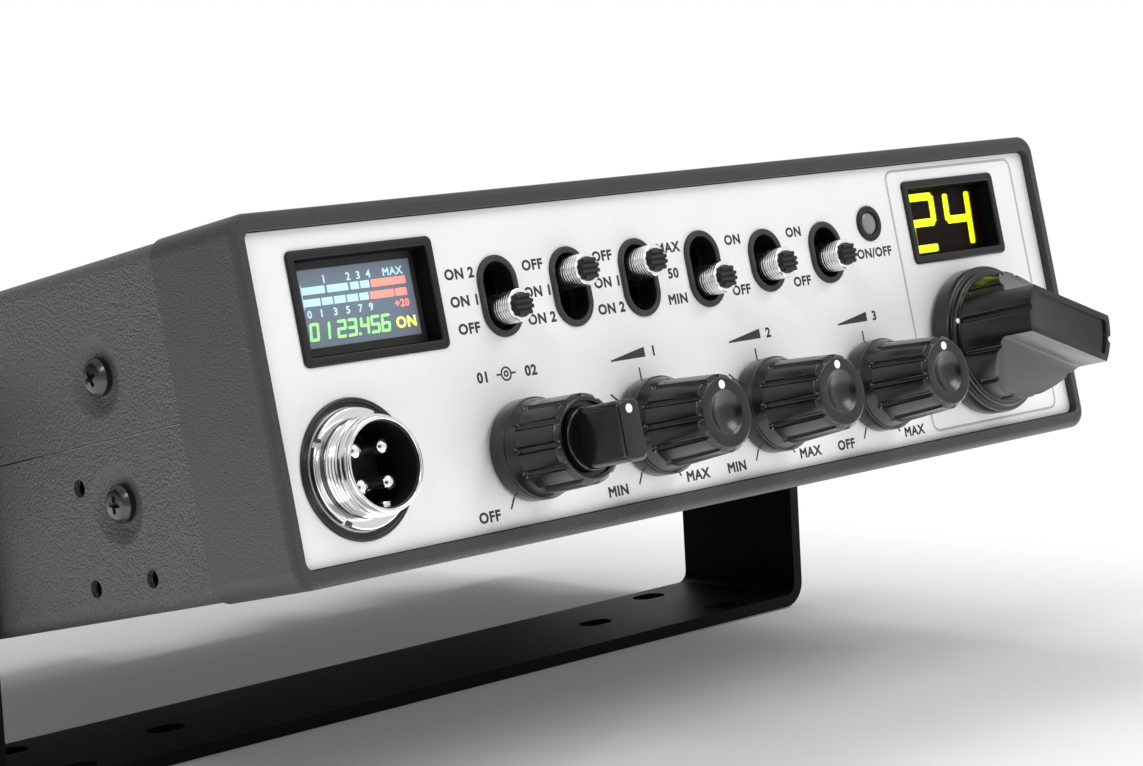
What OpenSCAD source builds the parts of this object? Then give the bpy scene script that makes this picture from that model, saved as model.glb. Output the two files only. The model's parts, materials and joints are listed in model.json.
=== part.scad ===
// Mobile two-way radio on a tilting stand.
// Millimetres, +Z up, +X to the operator's right, the front faces -Y.
// The origin lies on the underside of the stand, straight below the tilt axis.

/* [Case] */
// Width of the front bezel
body_w = 202; // [198:1:230]
// Height of the front bezel
body_h = 58; // [52:1:66]
// Depth of the front bezel
bezel_depth = 21; // [20:0.5:36]
// Corner radius of the bezel, seen from the front
bezel_r = 3.5; // [2:0.5:5]
// Wall of the bezel behind its rim
bezel_wall = 2.3; // [1.6:0.1:2.6]
// Width of the rim beside the panel
rim_side = 2.3; // [1.6:0.1:3]
// Width of the rim above and below the panel
rim_top = 2.9; // [2:0.1:3.2]
// Length of the covers behind the bezel
cover_len = 151; // [145:1:200]
// Step from the bezel in to the covers
cover_step = 0.4; // [0.2:0.1:0.8]
// Sheet thickness of the covers
cover_t = 1.2; // [0.8:0.1:1.4]
// Radius of the covers' long edges
cover_r = 3; // [2:0.5:5]
// Gap between the two covers at their seam
seam_gap = 0.2; // [0.1:0.1:0.6]

/* [Front panel] */
// Depth of the panel below the rim
panel_recess = 1.5; // [0.8:0.1:3]
// Thickness of the silver panel
panel_t = 1; // [0.6:0.1:2]
// Thickness of the bezel's wall behind the panel
web_t = 2; // [1.8:0.1:4]
// Height of the trims above the panel
trim_rise = 0.5; // [0.3:0.1:2]
// Width of the meter display's frame
lcd_w = 30.3; // [28:0.1:36]
// Distance of the meter display's centre from the left side
lcd_from_left = 25.5; // [22:0.1:28]
// Distance of the meter display's frame from the top
lcd_top_gap = 6.45; // [5.5:0.05:8]
// Gap between the meter display's frame and the microphone socket's ring
lcd_mic_gap = 5.2; // [4:0.1:6]
// Width of the channel window's frame
window_w = 27.8; // [25:0.1:34]
// Distance of the channel window's frame from the top
window_top_gap = 6.3; // [5.5:0.1:8]
// Gap between the channel window's frame and the channel knob
window_knob_gap = 2.3; // [1.5:0.1:3]
// Distance of the channel knob and window from the right side
channel_from_right = 27.4; // [24:0.1:30]
// Band of the display frames round their windows
frame_band = 1.5; // [1:0.1:2]
// Radius of the lamp's ring
lamp_r = 3.3; // [2.8:0.1:4]
// Distance of the lamp from the right side
lamp_from_right = 52.6; // [50:0.1:55]
// Distance of the lamp from the top
lamp_from_top = 13.3; // [11:0.1:16]

/* [Knobs] */
// Distance of the knob row from the bottom
knob_from_bottom = 14.9; // [14:0.1:16]
// Distance of the first knob from the left side
first_knob_from_left = 52.7; // [50:0.1:55]
// Distance of the last small knob from the right side
last_knob_from_right = 60.2; // [57:0.1:64]
// Radius of the small knobs' skirt
skirt_r = 8.4; // [8.2:0.1:9.6]
// Height of the small knobs' skirt
skirt_h = 3.9; // [2:0.1:5]
// Length of the cone between the small knobs' skirt and body
shoulder_l = 2.3; // [1:0.1:3]
// Radius of the gain knobs behind
gain_r = 7.4; // [7:0.1:7.8]
// Radius of the gain knobs in front
gain_front_r = 6.6; // [6.2:0.1:7]
// Radius of the volume knob behind
volume_r = 7.7; // [7.5:0.1:8]
// Radius of the volume knob in front
volume_front_r = 7.4; // [7.2:0.1:7.5]
// Height of the three gain knobs above the panel
gain_knob_h = 17.9; // [16:0.1:22]
// Height of the volume knob above the panel
volume_knob_h = 15.3; // [14:0.1:18]
// Height of the squelch knob above the panel
squelch_knob_h = 24.9; // [23:0.1:30]
// Width of the squelch knob's wing
wing_w = 5; // [4.6:0.1:6]
// Length of the squelch knob's wing
wing_l = 9.9; // [8:0.1:10.2]
// Grooves round each of the five knobs
knob_grooves = 12; // [8:1:14]
// Radius of the channel knob's skirt
channel_r = 14; // [13.6:0.1:14.6]
// Height of the channel knob above the panel
channel_h = 22.2; // [18:0.1:28]
// Length of the channel knob's bar
bar_l = 24.2; // [21:0.1:24.8]
// Width of the channel knob's bar
bar_w = 9; // [7:0.1:11]
// Turn of the channel knob from level
bar_turn = 21; // [0:1:90]
// Distance of the channel knob from the bottom
channel_from_bottom = 19.6; // [18:0.1:20]
// Gap under every knob
knob_lift = 0.5; // [0.3:0.1:1]
// Radius of the control shafts
shaft_r = 3; // [2.6:0.1:3.2]
// Radius of the squelch shaft
inner_shaft_r = 2; // [1.4:0.1:2.2]
// Running clearance of a shaft in its bush
run_gap = 0.05; // [0.02:0.01:0.1]

/* [Slide switches] */
// Distance of the switch row from the top
slot_from_top = 17.55; // [16:0.1:18.5]
// Distance of the first switch from the left side
first_slot_from_left = 53.5; // [51:0.1:56]
// Distance of the last switch from the right side
last_slot_from_right = 66; // [62:0.1:70]
// Radius of the lever barrels
lever_r = 2.75; // [2:0.05:2.9]
// Height of the lever tips above the panel
lever_h = 5.6; // [4.5:0.1:8]
// Length of the black tip in front of the barrel
tip_l = 0.9; // [0.8:0.1:2]
// Travel from the middle of a three-position switch
long_throw = 2.2; // [1.4:0.1:2.3]
// Travel from the middle of a two-position switch
short_throw = 1.1; // [0.6:0.1:1.2]
// Inside width of the slots
slot_w = 6.6; // [6.4:0.1:7.4]
// Length of the long slots between the ends' centres
long_span = 4.8; // [4.8:0.1:6]
// Length of the short slots between the ends' centres
short_span = 2.6; // [2.6:0.1:4]
// Band of the slot frames
slot_band = 1.1; // [0.8:0.1:1.8]

/* [Microphone socket] */
// Distance of the socket from the left side
mic_from_left = 16.9; // [16:0.1:20]
// Distance of the socket from the bottom
mic_from_bottom = 16.8; // [16:0.1:17.4]
// Outside radius of the socket's thread
mic_thread_r = 7.85; // [7.7:0.05:8]
// Bore radius of the socket
mic_bore_r = 6.85; // [6.5:0.05:6.9]
// Height of the socket above the panel
mic_h = 7; // [5:0.1:10]
// Radius of the chrome ring nut
mic_nut_r = 9.6; // [9:0.1:9.8]
// Thickness of the chrome ring nut
mic_nut_t = 2.2; // [1.6:0.1:3]
// Radius of the black trim ring
mic_ring_r = 11.25; // [11:0.05:11.6]
// Radius of the contact pins
mic_pin_r = 1.25; // [0.9:0.05:1.5]
// Radius of the circle through the pins
mic_pin_circle = 4; // [3.6:0.1:4.5]

/* [Stand] */
// Nose-up tilt at rest, in degrees
tilt = 11; // [4:0.5:12]
// Distance of the tilt axis behind the bezel's front
pivot_depth = 91; // [86:1:98]
// Height of the tilt axis above the surface
pivot_h = 54.6; // [53:0.1:80]
// Width of the stand's legs and base
leg_w = 32; // [28:1:44]
// Sheet thickness of the stand
stand_t = 2.5; // [1.5:0.1:3]
// Outside radius of the stand's bends
bend_r = 5; // [4:0.5:8]
// Thickness of the friction washers
washer_t = 1.4; // [1:0.1:3]
// Gap between a washer and its leg
washer_gap = 0.1; // [0.05:0.05:0.3]
// Width of the slots in the base
base_slot_w = 5; // [4:0.1:6]
// Length of the slots in the base
base_slot_l = 8; // [7:0.1:12]
// Spacing of the corner slots along the base
base_slot_x = 168; // [150:1:176]
// Spacing of the corner slots across the base
base_slot_y = 21; // [18:0.5:22]
// Spacing of the two slots on the middle line
mid_slot_x = 113; // [90:1:125]
// Radius of the thumbscrews' stud
stud_r = 2.45; // [2:0.05:2.6]
// Radius of the thumbscrews' head
thumb_r = 11; // [9:0.5:14]
// Thickness of the thumbscrews' head
thumb_t = 7; // [5:0.5:10]

/* [Inside and rear] */
// Sheet thickness of the chassis
chassis_t = 1.5; // [1:0.1:2]
// Thickness of the chassis front plate
plate_t = 1.2; // [1:0.1:2]
// Gap between the chassis side rails and the covers above and below
rail_clear = 2.4; // [1.6:0.1:3.4]
// Length of the potentiometers and switches behind the plate
control_len = 10.8; // [10:0.1:13]
// Thickness of the circuit boards
board_t = 1.6; // [1:0.1:2.4]
// Height of the main board above the middle
board_z = 8; // [7.6:0.1:9]
// Radius of the loudspeaker
speaker_r = 33; // [28:0.5:36]
// Thickness of the rear panel
rear_t = 3; // [2:0.1:5]
// Depth of the cooling fins
fin_depth = 13; // [8:0.5:20]
// Thickness of a cooling fin
fin_t = 1.8; // [1.2:0.1:3]
// Cooling fins
fin_count = 10; // [6:1:11]
// Distance of the covers' screws from the middle height
screw_z = 10.3; // [9:0.1:14]
// Distance of the front screws behind the bezel's front
screw_depth = 41.7; // [40:0.1:44]
// Radius of the pressed dimples round the screws
dimple_r = 5.85; // [5:0.05:6.4]
// Radius of the screws' head
head_r = 2.9; // [2.6:0.1:3.2]
// Radius of the hanger holes in the left side
hanger_r = 1.5; // [1.2:0.1:1.8]
// Outside radius of the aerial socket's thread
aerial_r = 7.94; // [7.6:0.02:8]

/* [Hidden] */
$fn = 48;

// Colours, as the finished pieces look
steel_black = [0.09, 0.09, 0.095];
case_grey = [0.17, 0.17, 0.175];
silver = [0.80, 0.80, 0.81];
chrome = [0.86, 0.87, 0.88];
knob_grey = [0.13, 0.13, 0.135];
black = [0.05, 0.05, 0.05];
zinc = [0.62, 0.63, 0.64];
board_green = [0.10, 0.30, 0.16];
brass = [0.75, 0.62, 0.32];

// Small gaps
eps = 0.01;
hold_gap = 0.02;
fit_gap = 0.2;

// Depths behind the bezel's front face
panel_back = panel_recess + panel_t;
plate_front = panel_back + web_t;
plate_back = plate_front + plate_t;
board_front = plate_back + control_len;
rear_face = bezel_depth + cover_len;

// Half sizes of the covers and the chassis
cover_half_w = body_w / 2 - cover_step;
cover_half_h = body_h / 2 - cover_step;
dimple_depth = 1.2;
rail_out = cover_half_w - dimple_depth - cover_t;
rail_in = rail_out - chassis_t;
floor_z = -cover_half_h + cover_t;
rail_h = 2 * (cover_half_h - cover_t - rail_clear);

// Places of the controls on the front, from the panel's middle
lcd_x = -body_w / 2 + lcd_from_left;
mic_x = -body_w / 2 + mic_from_left;
mic_z = -body_h / 2 + mic_from_bottom;
lcd_h = body_h / 2 - lcd_top_gap - mic_z - mic_ring_r - lcd_mic_gap;
lcd_z = body_h / 2 - lcd_top_gap - lcd_h / 2;
knob_z = -body_h / 2 + knob_from_bottom;
volume_x = -body_w / 2 + first_knob_from_left;
talkback_x = body_w / 2 - last_knob_from_right;
knob_pitch = (talkback_x - volume_x) / 3;
mic_gain_x = volume_x + knob_pitch;
rf_gain_x = volume_x + 2 * knob_pitch;
channel_x = body_w / 2 - channel_from_right;
channel_z = -body_h / 2 + channel_from_bottom;
window_h = body_h / 2 - window_top_gap - channel_z - channel_r - window_knob_gap;
window_z = body_h / 2 - window_top_gap - window_h / 2;
lamp_x = body_w / 2 - lamp_from_right;
lamp_z = body_h / 2 - lamp_from_top;
slot_z = body_h / 2 - slot_from_top;
slot_x0 = -body_w / 2 + first_slot_from_left;
slot_pitch = (body_w / 2 - last_slot_from_right - slot_x0) / 5;
// Two-position switches stand at the right end of the row
slot_is_long = [true, true, true, true, false, false];
// Rest positions of the levers: 1 is up, -1 is down
lever_rest = [-1, 1, 1, -1, -1, -1];
knob_places = [[volume_x, knob_z], [mic_gain_x, knob_z], [rf_gain_x, knob_z], [talkback_x, knob_z],
    [channel_x, channel_z]];

// Control hardware behind the knobs
bush_r = shaft_r + 0.5;
bush_hole_r = bush_r + 0.1;
nut_r = bush_r + 2.3;
nut_t = web_t - 0.1;
pot_r = 8;
shaft_back = board_front - 2.5;
inner_shaft_back = board_front - 0.9;
knob_floor = 2;

// Slide switches
foot_w = slot_w + 1.4;
foot_h = 7;
foot_t = 2.4;
foot_gap = 0.3;
switch_w = foot_w + 2.4;
pocket_spare = 0.4;

// Display windows and the units behind them
window_t = 1;
lcd_unit_t = 4;
digit_unit_t = 7;
frame_wall = 0.7;
frame_corner_r = 1.3;

// Covers' screws and the other machine screws
screw_r = 1.5;
screw_hole_r = screw_r + 0.05;
head_h = 2;
rear_screw_inset = 18;
rear_screw_depth = rear_face - rear_screw_inset;
cover_screw_depths = [screw_depth, rear_screw_depth];

// Hanger holes: depth behind the bezel's front, and height
hanger_edge = 6;
hanger_low_z = -body_h / 2 + hanger_edge;
hanger_high_z = -6.5;
hanger_back = 9.4;
hanger_low_back = 9.9;
hanger_low_front = 5.6;
hanger_holes = [[screw_depth + hanger_back, hanger_high_z], [screw_depth + hanger_low_back, hanger_low_z],
    [screw_depth - hanger_low_front, hanger_low_z]];

// Depth of the screw holes cut through the chassis
tap_depth = 12;

// Pivot
boss_r = 6;
boss_len = 8;
stud_hole_r = stud_r + run_gap;
leg_hole_r = stud_r + 0.3;
washer_r = 9;
leg_in = cover_half_w + washer_t + washer_gap;
leg_out = leg_in + stand_t;
thumb_gap = 0.2;

// Main board
ledge_w = 8;
board_half_w = rail_in - 0.4;
board_end_gap = 4;
board_d0 = screw_depth + board_end_gap;
board_d1 = rear_screw_depth - board_end_gap;
board_screw_x = rail_in - ledge_w / 2;
board_screw_inset = 8;
board_screw_depths = [board_d0 + board_screw_inset, board_d1 - board_screw_inset];

// Rear panel
rear_half_w = cover_half_w - cover_t - fit_gap;
rear_half_h = cover_half_h - cover_t - fit_gap;
tab_w = 12;
rear_screw_x = rail_in - tab_w / 2;
rear_screw_z = 17;
fin_pitch = 7;
fin_h = 46;
fin_from_side = 22;
fin_x0 = -rear_half_w + fin_from_side;
aerial_from_side = 33;
aerial_x = rear_half_w - aerial_from_side;
aerial_flange = 25.4;
aerial_hole_spacing = 18.26;
aerial_flange_t = 2.5;
aerial_len = 13.5;
aerial_bore_r = aerial_r - 1.9;
aerial_stub_r = aerial_r - 0.5;
aerial_stub = 8;
power_from_aerial = 32;
power_x = aerial_x - power_from_aerial;
power_w = 20;
power_h = 15;
power_wall = 1.6;
power_out = 10;
power_in = 7;
jack_from_power = 22;
jack_x = power_x - jack_from_power;
jack_z = 8;
jack_r = 4;
jack_bore_r = 1.8;
jack_out = 4;
speaker_behind_bezel = 59;
speaker_d = bezel_depth + speaker_behind_bezel;

// Moves a piece from the radio's own level frame to its tilted place on the stand
module in_radio() {
    translate([0, 0, pivot_h])
        rotate([-tilt, 0, 0])
            translate([0, -pivot_depth, 0])
                children();
}

// Places a piece on the panel's face, with its own +Z towards the operator
module on_panel(x, z) {
    translate([x, panel_recess, z])
        rotate([90, 0, 0])
            children();
}

// Places a piece on the rear face, with its own +Z to the rear and its own +Y down
module on_rear(x, z) {
    translate([x, rear_face, z])
        rotate([-90, 0, 0])
            children();
}

// Extrudes a front-view outline from depth d0 to depth d1
module slab(d0, d1) {
    translate([0, d1, 0])
        rotate([90, 0, 0])
            linear_extrude(d1 - d0)
                children();
}

// Flat outlines, made of squares and circles
module rounded_box(w, h, r) {
    square([w - 2 * r, h], center = true);
    square([w, h - 2 * r], center = true);
    for (sx = [-1, 1])
        for (sy = [-1, 1])
            translate([sx * (w / 2 - r), sy * (h / 2 - r)])
                circle(r);
}

module stadium(w, span) {
    square([w, span], center = true);
    for (s = [-1, 1])
        translate([0, s * span / 2])
            circle(w / 2);
}

module at_slots() {
    for (i = [0 : 5])
        translate([slot_x0 + i * slot_pitch, slot_z])
            stadium(slot_w + $grow, slot_is_long[i] ? long_span : short_span);
}

// All openings of the front, each wider than its piece by a clearance
module front_openings(bush_r_here, frame_grow, slot_grow, mic_r, lamp_hole_r) {
    translate([lcd_x, lcd_z])
        square([lcd_w + frame_grow, lcd_h + frame_grow], center = true);
    translate([channel_x, window_z])
        square([window_w + frame_grow, window_h + frame_grow], center = true);
    translate([mic_x, mic_z])
        circle(mic_r);
    translate([lamp_x, lamp_z])
        circle(lamp_hole_r);
    for (p = knob_places)
        translate(p)
            circle(bush_r_here);
    at_slots($grow = slot_grow);
}

// Frames' necks stand this much inside the frames' outer edges
neck_inset = 2 * (frame_band - frame_wall);
slot_neck = 2 * frame_wall;

// Round grooves along a tapered body, from radius r0 at z0 to radius r1 at z1
module grooves(r0, r1, z0, z1, n, cut_r) {
    lean = atan2(r0 - r1, z1 - z0);
    for (i = [0 : n - 1])
        rotate([0, 0, 360 * i / n])
            translate([r0, 0, z0])
                rotate([0, -lean, 0])
                    cylinder(r = cut_r, h = (z1 - z0) / cos(lean));
}

// Pan-head screw along +Z: the head's seat lies at z = 0, the shank below it
module pan_screw(shank) {
    slot_len = 1.2 * head_r;
    difference() {
        union() {
            cylinder(r = head_r, h = head_h / 2);
            translate([0, 0, head_h / 2])
                cylinder(r1 = head_r, r2 = 0.6 * head_r, h = head_h / 2);
            translate([0, 0, -shank])
                cylinder(r = screw_r, h = shank + eps);
        }
        for (a = [0, 90])
            rotate([0, 0, a])
                translate([-slot_len / 2, -0.4, head_h / 2])
                    cube([slot_len, 0.8, head_h]);
    }
}

module at_cover_screws() {
    for (s = [-1, 1])
        for (d = cover_screw_depths)
            for (t = [-1, 1])
                translate([s * cover_half_w, d, t * screw_z])
                    rotate([0, s * 90, 0])
                        children();
}

module at_board_screws() {
    for (s = [-1, 1])
        for (d = board_screw_depths)
            translate([s * board_screw_x, d, board_z + board_t])
                children();
}

module at_rear_screws() {
    for (s = [-1, 1])
        for (t = [-1, 1])
            on_rear(s * rear_screw_x, t * rear_screw_z)
                children();
}

module at_aerial_screws() {
    half = aerial_hole_spacing / 2;
    for (s = [-1, 1])
        for (t = [-1, 1])
            on_rear(aerial_x + s * half, t * half)
                translate([0, 0, aerial_flange_t])
                    children();
}

// Stand: a folded strip with two round-topped legs
module leg_outline() {
    circle(leg_w / 2);
    translate([-leg_w / 2, -pivot_h + bend_r])
        square([leg_w, pivot_h - bend_r]);
}

module mounting_bracket() {
    color(steel_black)
        difference() {
            union() {
                translate([-leg_out + bend_r, -leg_w / 2, 0])
                    cube([2 * (leg_out - bend_r), leg_w, stand_t]);
                for (s = [-1, 1]) {
                    translate([s < 0 ? -leg_out : leg_in, 0, pivot_h])
                        rotate([90, 0, 90])
                            linear_extrude(stand_t)
                                leg_outline();
                    translate([s * (leg_out - bend_r), leg_w / 2, bend_r])
                        rotate([90, 0, 0])
                            linear_extrude(leg_w)
                                intersection() {
                                    difference() {
                                        circle(bend_r);
                                        circle(bend_r - stand_t);
                                    }
                                    translate([s < 0 ? -bend_r : 0, -bend_r])
                                        square(bend_r);
                                }
                }
            }
            translate([-leg_out - 1, 0, pivot_h])
                rotate([0, 90, 0])
                    cylinder(r = leg_hole_r, h = 2 * leg_out + 2);
            for (s = [-1, 1]) {
                for (t = [-1, 1])
                    translate([s * base_slot_x / 2, t * base_slot_y / 2, 0])
                        base_slot();
                translate([s * mid_slot_x / 2, 0, 0])
                    base_slot();
            }
        }
}

module base_slot() {
    translate([0, 0, -1])
        linear_extrude(stand_t + 2)
            rotate(90)
                stadium(base_slot_w, base_slot_l - base_slot_w);
}

// Case
module front_bezel() {
    color(case_grey)
        in_radio()
            difference() {
                slab(0, bezel_depth)
                    rounded_box(body_w, body_h, bezel_r);
                slab(-1, panel_back)
                    rounded_box(body_w - 2 * rim_side, body_h - 2 * rim_top, 1.5);
                slab(plate_front, bezel_depth + 1)
                    rounded_box(body_w - 2 * bezel_wall, body_h - 2 * bezel_wall, 1.5);
                slab(0, plate_front + 1)
                    front_openings(nut_r + 0.4, fit_gap - neck_inset, slot_neck + fit_gap,
                        mic_thread_r + fit_gap, lamp_r - frame_wall + fit_gap);
            }
}

module front_panel() {
    color(silver)
        in_radio()
            slab(panel_recess, panel_back)
                difference() {
                    rounded_box(body_w - 2 * rim_side - fit_gap, body_h - 2 * rim_top - fit_gap, 1.4);
                    front_openings(bush_r + fit_gap, fit_gap - neck_inset, slot_neck + fit_gap,
                        mic_thread_r + fit_gap, lamp_r - frame_wall + fit_gap);
                }
}

module cover_outline() {
    difference() {
        rounded_box(2 * cover_half_w, 2 * cover_half_h, cover_r);
        rounded_box(2 * (cover_half_w - cover_t), 2 * (cover_half_h - cover_t), max(cover_r - cover_t, 0.5));
    }
}

// One folded cover: side is 1 for the top and -1 for the bottom
module cover(side) {
    half = cover_half_h + 1;
    difference() {
        union() {
            slab(bezel_depth, rear_face)
                intersection() {
                    cover_outline();
                    translate([-body_w, side > 0 ? seam_gap / 2 : -half])
                        square([2 * body_w, half - seam_gap / 2]);
                }
            intersection() {
                at_cover_screws()
                    translate([0, 0, -dimple_depth - cover_t])
                        cylinder(r = dimple_r + 0.6, h = dimple_depth + eps);
                translate([-body_w, 0, side > 0 ? seam_gap / 2 : -body_h])
                    cube([2 * body_w, 2 * rear_face, body_h - seam_gap / 2]);
            }
        }
        at_cover_screws() {
            translate([0, 0, -dimple_depth])
                cylinder(r1 = head_r + 0.5, r2 = dimple_r, h = dimple_depth + eps);
            translate([0, 0, -dimple_depth - cover_t - 1])
                cylinder(r = screw_hole_r, h = dimple_depth + cover_t + 2);
        }
        translate([-body_w, pivot_depth, 0])
            rotate([0, 90, 0])
                cylinder(r = stud_r + 1.5, h = 2 * body_w);
    }
}

module top_cover() {
    color(case_grey)
        in_radio()
            cover(1);
}

module at_hanger_holes() {
    for (p = hanger_holes)
        translate([-cover_half_w, p[0], p[1]])
            rotate([0, -90, 0])
                children();
}

// Loudspeaker grille: rings of holes
grille_hole_r = 1.4;
grille_ring = 5.5;
grille_rings = 4;

module bottom_cover() {
    color(case_grey)
        in_radio()
            difference() {
                cover(-1);
                at_hanger_holes()
                    translate([0, 0, -cover_t - 1])
                        cylinder(r = hanger_r, h = cover_t + 2);
                translate([0, speaker_d, -cover_half_h - 1]) {
                    cylinder(r = grille_hole_r, h = cover_t + 2);
                    for (k = [1 : grille_rings])
                        for (i = [0 : 6 * k - 1])
                            rotate([0, 0, 60 * i / k])
                                translate([k * grille_ring, 0, 0])
                                    cylinder(r = grille_hole_r, h = cover_t + 2);
                }
            }
}

module chassis_frame() {
    ledge_len = board_d1 - board_d0 + 4;
    color(zinc)
        in_radio()
            difference() {
                union() {
                    slab(plate_front, plate_back)
                        square([2 * rail_out, rail_h], center = true);
                    for (s = [-1, 1]) {
                        translate([s < 0 ? -rail_out : rail_in, plate_front, -rail_h / 2])
                            cube([chassis_t, rear_face - rear_t - plate_front, rail_h]);
                        translate([s < 0 ? -rail_in - eps : rail_in - ledge_w, board_d0 - 2,
                            board_z - chassis_t])
                            cube([ledge_w + eps, ledge_len, chassis_t]);
                        translate([s < 0 ? -rail_in - eps : rail_in - tab_w, rear_face - rear_t - chassis_t,
                            -rail_h / 2])
                            cube([tab_w + eps, chassis_t, rail_h]);
                        translate([s * rail_out, pivot_depth, 0])
                            rotate([0, -s * 90, 0])
                                cylinder(r = boss_r, h = chassis_t + boss_len);
                    }
                }
                slab(plate_front - 1, plate_back + 1)
                    front_openings(bush_hole_r, fit_gap - 2 * frame_band, fit_gap, mic_thread_r + fit_gap,
                        lamp_r - frame_wall + fit_gap);
                translate([-body_w, pivot_depth, 0])
                    rotate([0, 90, 0])
                        cylinder(r = stud_hole_r, h = 2 * body_w);
                at_cover_screws()
                    translate([0, 0, -tap_depth])
                        cylinder(r = screw_hole_r, h = tap_depth);
                at_hanger_holes()
                    translate([0, 0, -tap_depth])
                        cylinder(r = hanger_r, h = tap_depth);
                at_board_screws()
                    translate([0, 0, -tap_depth])
                        cylinder(r = screw_hole_r, h = tap_depth);
                at_rear_screws()
                    translate([0, 0, -tap_depth])
                        cylinder(r = screw_hole_r, h = tap_depth);
            }
}

module rear_panel() {
    color(steel_black)
        in_radio()
            difference() {
                union() {
                    slab(rear_face - rear_t, rear_face)
                        rounded_box(2 * rear_half_w, 2 * rear_half_h, 1.5);
                    for (i = [0 : fin_count - 1])
                        translate([fin_x0 + i * fin_pitch, rear_face - eps, -fin_h / 2])
                            cube([fin_t, fin_depth + eps, fin_h]);
                }
                at_rear_screws()
                    translate([0, 0, -rear_t - 1])
                        cylinder(r = screw_hole_r, h = rear_t + 2);
                at_aerial_screws()
                    translate([0, 0, -rear_t - aerial_flange_t - 1])
                        cylinder(r = screw_hole_r, h = rear_t + aerial_flange_t + 2);
                on_rear(aerial_x, 0)
                    translate([0, 0, -rear_t - 1])
                        cylinder(r = aerial_r + fit_gap, h = rear_t + 2);
                on_rear(power_x, 0)
                    translate([-power_w / 2 - fit_gap / 2, -power_h / 2 - fit_gap / 2, -rear_t - 1])
                        cube([power_w + fit_gap, power_h + fit_gap, rear_t + 2]);
                for (t = [-1, 1])
                    on_rear(jack_x, t * jack_z)
                        translate([0, 0, -rear_t - 1])
                            cylinder(r = jack_r + fit_gap / 2, h = rear_t + 2);
            }
}

module machine_screws() {
    color(black)
        in_radio() {
            at_cover_screws()
                translate([0, 0, -dimple_depth])
                    pan_screw(cover_t + chassis_t + 2);
            at_board_screws()
                pan_screw(board_t + chassis_t + 1);
            at_rear_screws()
                pan_screw(rear_t + chassis_t + 1.5);
            at_aerial_screws()
                pan_screw(rear_t + aerial_flange_t + 1);
        }
}

// Displays
module display_frame(w, h) {
    neck = panel_t + web_t;
    difference() {
        union() {
            linear_extrude(trim_rise)
                rounded_box(w, h, frame_corner_r);
            translate([0, 0, -neck])
                linear_extrude(neck + eps)
                    square([w - neck_inset, h - neck_inset], center = true);
        }
        translate([0, 0, -neck - 1])
            linear_extrude(neck + trim_rise + 2)
                square([w - 2 * frame_band, h - 2 * frame_band], center = true);
    }
}

module lcd_frame() {
    color(black)
        in_radio()
            on_panel(lcd_x, lcd_z)
                display_frame(lcd_w, lcd_h);
}

module channel_window_frame() {
    color(black)
        in_radio()
            on_panel(channel_x, window_z)
                display_frame(window_w, window_h);
}

// A display: its face stands in the plate's opening, its case behind the plate
module display_unit(w, h, back) {
    nose = 2 * frame_band + fit_gap;
    translate([0, 0, -plate_back + panel_recess + (plate_t - 0.1) / 2])
        cube([w - nose, h - nose, plate_t - 0.1 + eps], center = true);
    translate([0, 0, -plate_back + panel_recess - back / 2])
        cube([w, h, back], center = true);
}

module lcd_module() {
    color(black)
        in_radio()
            on_panel(lcd_x, lcd_z)
                display_unit(lcd_w, lcd_h, lcd_unit_t);
}

module channel_display() {
    color(black)
        in_radio()
            on_panel(channel_x, window_z)
                display_unit(window_w, window_h, digit_unit_t);
}

module display_windows() {
    inset = 2 * frame_band + 2 * hold_gap;
    color([0.25, 0.25, 0.27, 0.5])
        in_radio() {
            on_panel(lcd_x, lcd_z)
                translate([0, 0, -panel_t - window_t / 2])
                    cube([lcd_w - inset, lcd_h - inset, window_t], center = true);
            on_panel(channel_x, window_z)
                translate([0, 0, -panel_t - window_t / 2])
                    cube([window_w - inset, window_h - inset, window_t], center = true);
        }
}

// Frames of the six switch slots, and the lamp's ring
module panel_trims() {
    neck = panel_t + web_t;
    color(black)
        in_radio() {
            for (i = [0 : 5]) {
                span = slot_is_long[i] ? long_span : short_span;
                on_panel(slot_x0 + i * slot_pitch, slot_z)
                    difference() {
                        union() {
                            linear_extrude(trim_rise)
                                stadium(slot_w + 2 * slot_band, span);
                            translate([0, 0, -neck])
                                linear_extrude(neck + eps)
                                    stadium(slot_w + slot_neck, span);
                        }
                        translate([0, 0, -neck - 1])
                            linear_extrude(neck + trim_rise + 2)
                                stadium(slot_w, span);
                    }
            }
            on_panel(lamp_x, lamp_z)
                difference() {
                    union() {
                        cylinder(r = lamp_r, h = trim_rise);
                        translate([0, 0, -neck])
                            cylinder(r = lamp_r - frame_wall, h = neck + eps);
                    }
                    translate([0, 0, -neck - 1])
                        cylinder(r = lamp_lens_r + hold_gap, h = neck + trim_rise + 2);
                }
        }
}

lamp_lens_r = lamp_r - 1.2;

module lamp_lens() {
    color([0.75, 0.75, 0.76])
        in_radio()
            on_panel(lamp_x, lamp_z)
                translate([0, 0, -panel_t - web_t - plate_t])
                    cylinder(r = lamp_lens_r, h = panel_t + web_t + plate_t + 0.7 * trim_rise);
}

// Microphone socket
mic_shell_tail = 7;
mic_shell_back = plate_back + mic_shell_tail;
mic_neck_r = mic_thread_r - 0.5;
mic_neck_len = mic_shell_back - panel_recess + mic_nut_t;
mic_flange_r = mic_thread_r + 1.4;
mic_insert_sink = 3;
mic_insert_front = panel_recess + mic_insert_sink;
mic_pin_sink = 3;
mic_pin_tip = mic_h - mic_pin_sink;

module mic_socket_ring() {
    color(black)
        in_radio()
            on_panel(mic_x, mic_z)
                difference() {
                    cylinder(r = mic_ring_r, h = trim_rise);
                    translate([0, 0, -1])
                        cylinder(r = mic_nut_r + fit_gap, h = trim_rise + 2);
                }
}

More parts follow.
